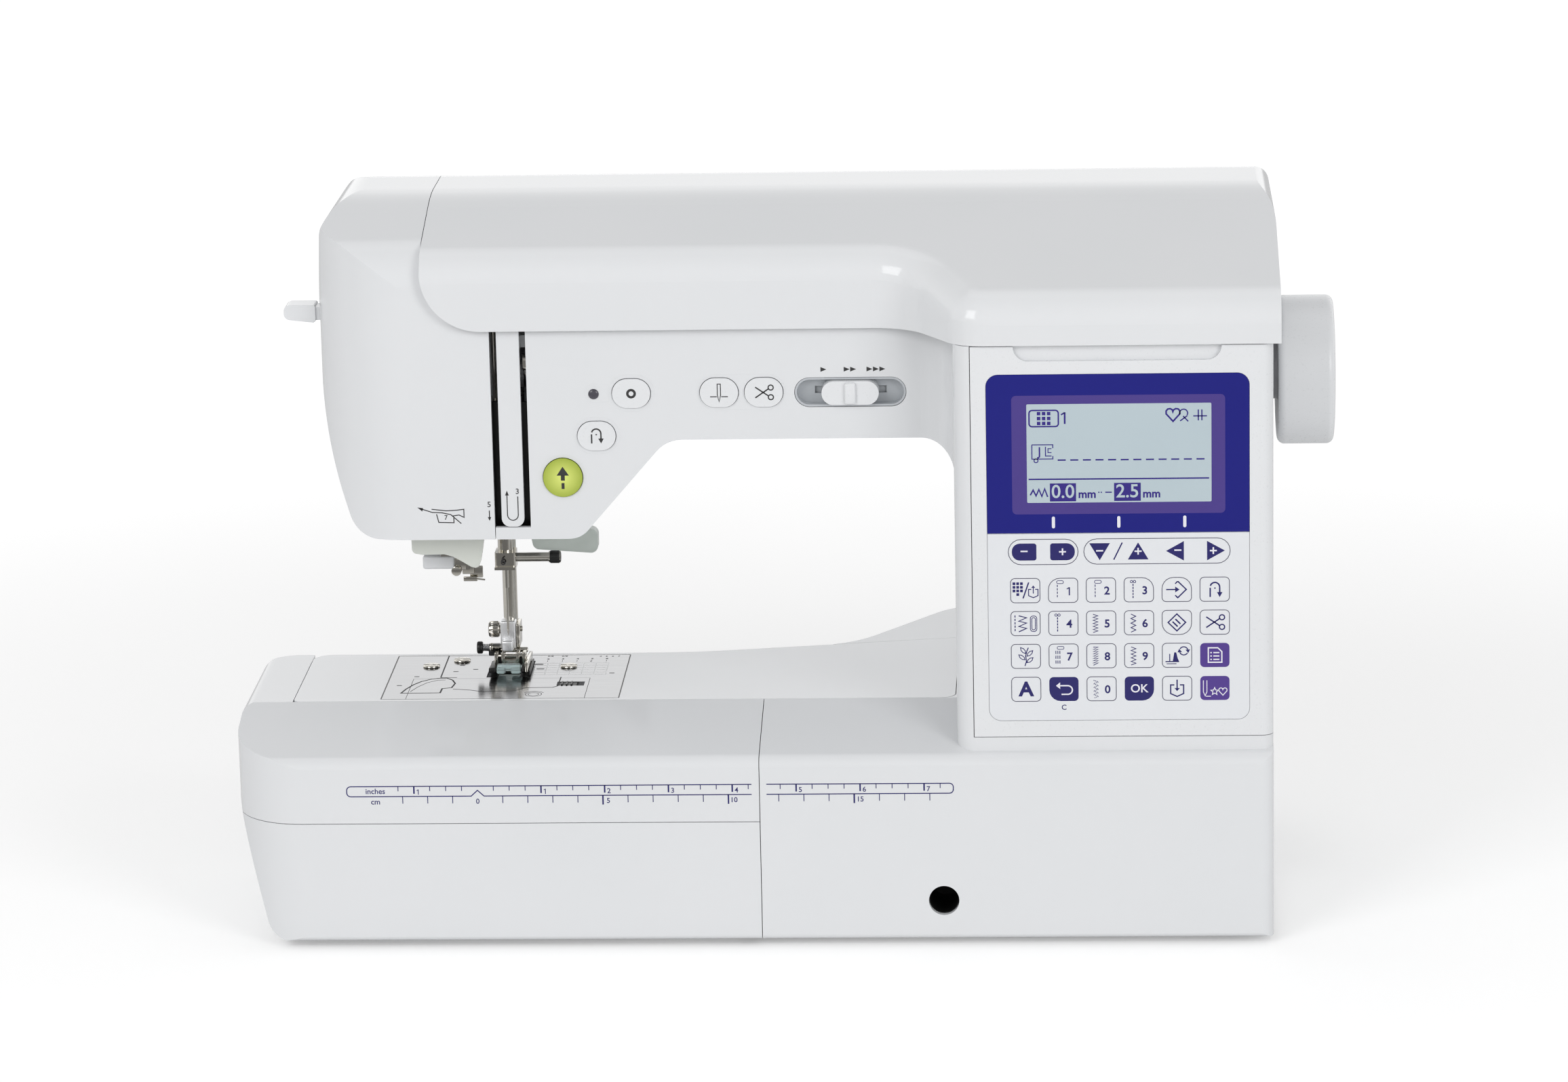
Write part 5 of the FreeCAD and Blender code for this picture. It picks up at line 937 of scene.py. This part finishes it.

# Heads of the needle plate's screws and the dark strips of painted shade beside the plate.
# Nickel plated oval heads with a coin slot; the strips are thin black films that fill the plate's side gaps
# as painted shade of those gaps.

for i, (screw_x, screw_y) in enumerate(((71.5, 101.8), (83.6, 110.5), (129.5, 100.2))):
    head = bar(f"plate_screw_head_{i}", (screw_x, screw_y, plate_top),
               (screw_x, screw_y, plate_top + 0.9), 3.6, 0.5)
    groove = block("coin_slot", (screw_x - 4, screw_y - 0.55, plate_top + 0.3),
                   (screw_x + 4, screw_y + 0.55, plate_top + 2), 0.05)
    bpy.ops.object.select_all(action="DESELECT")
    head.select_set(True)
    bpy.context.view_layer.objects.active = head
    shape(head, "BOOLEAN", operation="DIFFERENCE", object=groove)
    bpy.data.objects.remove(groove)
    fit(head, nickel_plate, "nickel", "machine_body")
# Painted shade: black films laid along the plate's edges where the gaps beside it look dark
strips = lines(0.5, [(55.9, 51.2), (55.9, 118.9)], [(154.1, 51.2), (154.1, 118.9)])
strips += lines(0.3, [(56.0, 51.0), (154.0, 51.0)], [(56.0, 119.0), (154.0, 119.0)])
printed("plate_gap_painted_shade", strips, plate_top + 0.035, black_nylon, top=True)

# Dark plate of painted shade behind the two threading slots.
# Matt black nylon finish, put there so that the slots look dark as their shaded insides would.

slot_shade_plate = block("slot_painted_shade_plate", (98.0, 51.6, 163.0), (124.5, 52.6, 216.0), 0.3)
fit(slot_shade_plate, black_nylon, "black_plastic", "machine_body")

# Floor, lamps and camera of the studio.
# A pale sweep of paper under and behind the machine, two wide soft boxes and a bright room.

# Paper sweep: matt white, with a glow away from the machine that keeps the paper white to the eye
sweep_white, sweep_tree, sweep_spot = new_finish("paper_sweep_white")
sweep_ray = add(sweep_tree, "LightPath", {}, {})
sweep_through = add(sweep_tree, "Math", {"operation": "MAXIMUM"},
                    {0: sweep_ray.outputs["Is Camera Ray"], 1: sweep_ray.outputs["Is Transmission Ray"]})
sweep_reach = add(sweep_tree, "VectorMath", {"operation": "LENGTH"}, {0: sweep_spot})
sweep_far = add(sweep_tree, "MapRange", {"interpolation_type": "SMOOTHSTEP"},
                {"Value": sweep_reach.outputs["Value"], "From Min": 0.3, "From Max": 1.2,
                 "To Min": 0.27, "To Max": 0.5})
sweep_glow = add(sweep_tree, "Math", {"operation": "MULTIPLY"},
                 {0: sweep_far.outputs["Result"], 1: sweep_through.outputs[0]})
# Painted shade in reflections: to glossy rays the paper is dark grey in front of the machine and white
# behind it, standing in for a dark studio
sweep_place = add(sweep_tree, "SeparateXYZ", {}, {0: sweep_spot})
sweep_behind = add(sweep_tree, "MapRange", {},
                   {"Value": sweep_place.outputs["Y"], "From Min": -0.5, "From Max": -0.1,
                    "To Min": 0.15, "To Max": 1.0})
sweep_reflected_painted_shade = add(sweep_tree, "Mix", {"data_type": "RGBA"},
                  {"Factor": sweep_behind.outputs["Result"], "A": linear("#5C5C5C"),
                   "B": linear("#F4F4F4")})
sweep_tint = add(sweep_tree, "Mix", {"data_type": "RGBA"},
                 {"Factor": sweep_ray.outputs["Is Glossy Ray"], "A": linear("#F4F4F4"),
                  "B": sweep_reflected_painted_shade.outputs["Result"]})
sweep_paper = add(sweep_tree, "BsdfDiffuse", {}, {"Color": sweep_tint.outputs["Result"]})
sweep_light = add(sweep_tree, "Emission", {}, {"Color": (1, 1, 1, 1), "Strength": sweep_glow.outputs[0]})
sweep_shader = add(sweep_tree, "AddShader", {}, {0: sweep_paper.outputs[0], 1: sweep_light.outputs[0]})
add(sweep_tree, "OutputMaterial", {}, {"Surface": sweep_shader.outputs[0]})
bpy.ops.object.select_all(action="DESELECT")
bpy.ops.mesh.primitive_plane_add(size=12, location=(0, 0, -0.0002))
sweep = bpy.context.object
sweep.name = "paper_sweep"
sweep.data.materials.append(sweep_white)

world = bpy.data.worlds.new("bright_room")
world.use_nodes = True
bpy.context.scene.world = world
room_tree = world.node_tree
room_tree.nodes.clear()
room_ray = add(room_tree, "LightPath", {}, {})
room_way = add(room_tree, "SeparateXYZ", {}, {0: add(room_tree, "TexCoord", {}, {}).outputs["Generated"]})
room_shine = add(room_tree, "MapRange", {},
                 {"Value": room_way.outputs["Y"], "From Min": -0.35, "From Max": 0.1,
                  "To Min": 0.42, "To Max": 1.28})
room_low = add(room_tree, "MapRange", {},
               {"Value": room_way.outputs["Z"], "From Min": 0.35, "From Max": 0.75,
                "To Min": 1.0, "To Max": 0.25})
room_band = add(room_tree, "Math", {"operation": "MULTIPLY"},
                {0: room_shine.outputs["Result"], 1: room_low.outputs["Result"]})
room_light = add(room_tree, "Background", {}, {"Color": (1, 1, 1, 1), "Strength": 0.55})
room_mirrored = add(room_tree, "Background", {},
                    {"Color": (1, 1, 1, 1), "Strength": room_band.outputs[0]})
room_seen = add(room_tree, "Background", {}, {"Color": (1, 1, 1, 1), "Strength": 1.0})
room_view = add(room_tree, "Math", {"operation": "MAXIMUM"},
                {0: room_ray.outputs["Is Camera Ray"], 1: room_ray.outputs["Is Transmission Ray"]})
room_metal = add(room_tree, "MixShader", {}, {0: room_ray.outputs["Is Glossy Ray"],
                                              1: room_light.outputs[0], 2: room_mirrored.outputs[0]})
room = add(room_tree, "MixShader", {}, {0: room_view.outputs[0], 1: room_metal.outputs[0],
                                        2: room_seen.outputs[0]})
add(room_tree, "OutputWorld", {}, {"Surface": room.outputs[0]})

for lamp_name, place, aim, width, height, power in (
        ("soft_box_left", (-1.3, -1.9, 1.3), (0, 0, 0.15), 1.2, 1.2, 16.5),
        ("soft_box_right", (1.5, -1.9, 1.0), (0, 0, 0.15), 1.0, 1.0, 15),
        ("top_box", (0.1, 0.3, 2.0), (0, 0, 0.1), 1.6, 1.0, 2)):
    lamp = bpy.data.lights.new(lamp_name, "AREA")
    lamp.shape = "RECTANGLE"
    lamp.size, lamp.size_y, lamp.energy = width, height, power
    holder = bpy.data.objects.new(lamp_name, lamp)
    holder.location = place
    holder.rotation_euler = (Vector(aim) - Vector(place)).to_track_quat("-Z", "Y").to_euler()
    bpy.context.scene.collection.objects.link(holder)

eye = bpy.data.cameras.new("photo_camera")
eye.lens, eye.sensor_width = 132.5, 36
eye.clip_start, eye.clip_end = 0.05, 50
eye_place, eye_aim, eye_roll = (0.1190, -2.3266, 0.7261), (0.0022, -0.098, 0.1696), -1.2
camera = bpy.data.objects.new("photo_camera", eye)
camera.location = eye_place
sight = Vector(eye_aim) - camera.location
camera.rotation_euler = sight.to_track_quat("-Z", "Y").to_euler()
camera.rotation_euler.rotate_axis("Z", math.radians(eye_roll))
bpy.context.scene.collection.objects.link(camera)
bpy.context.scene.camera = camera
bpy.context.scene.view_settings.view_transform = "Standard"
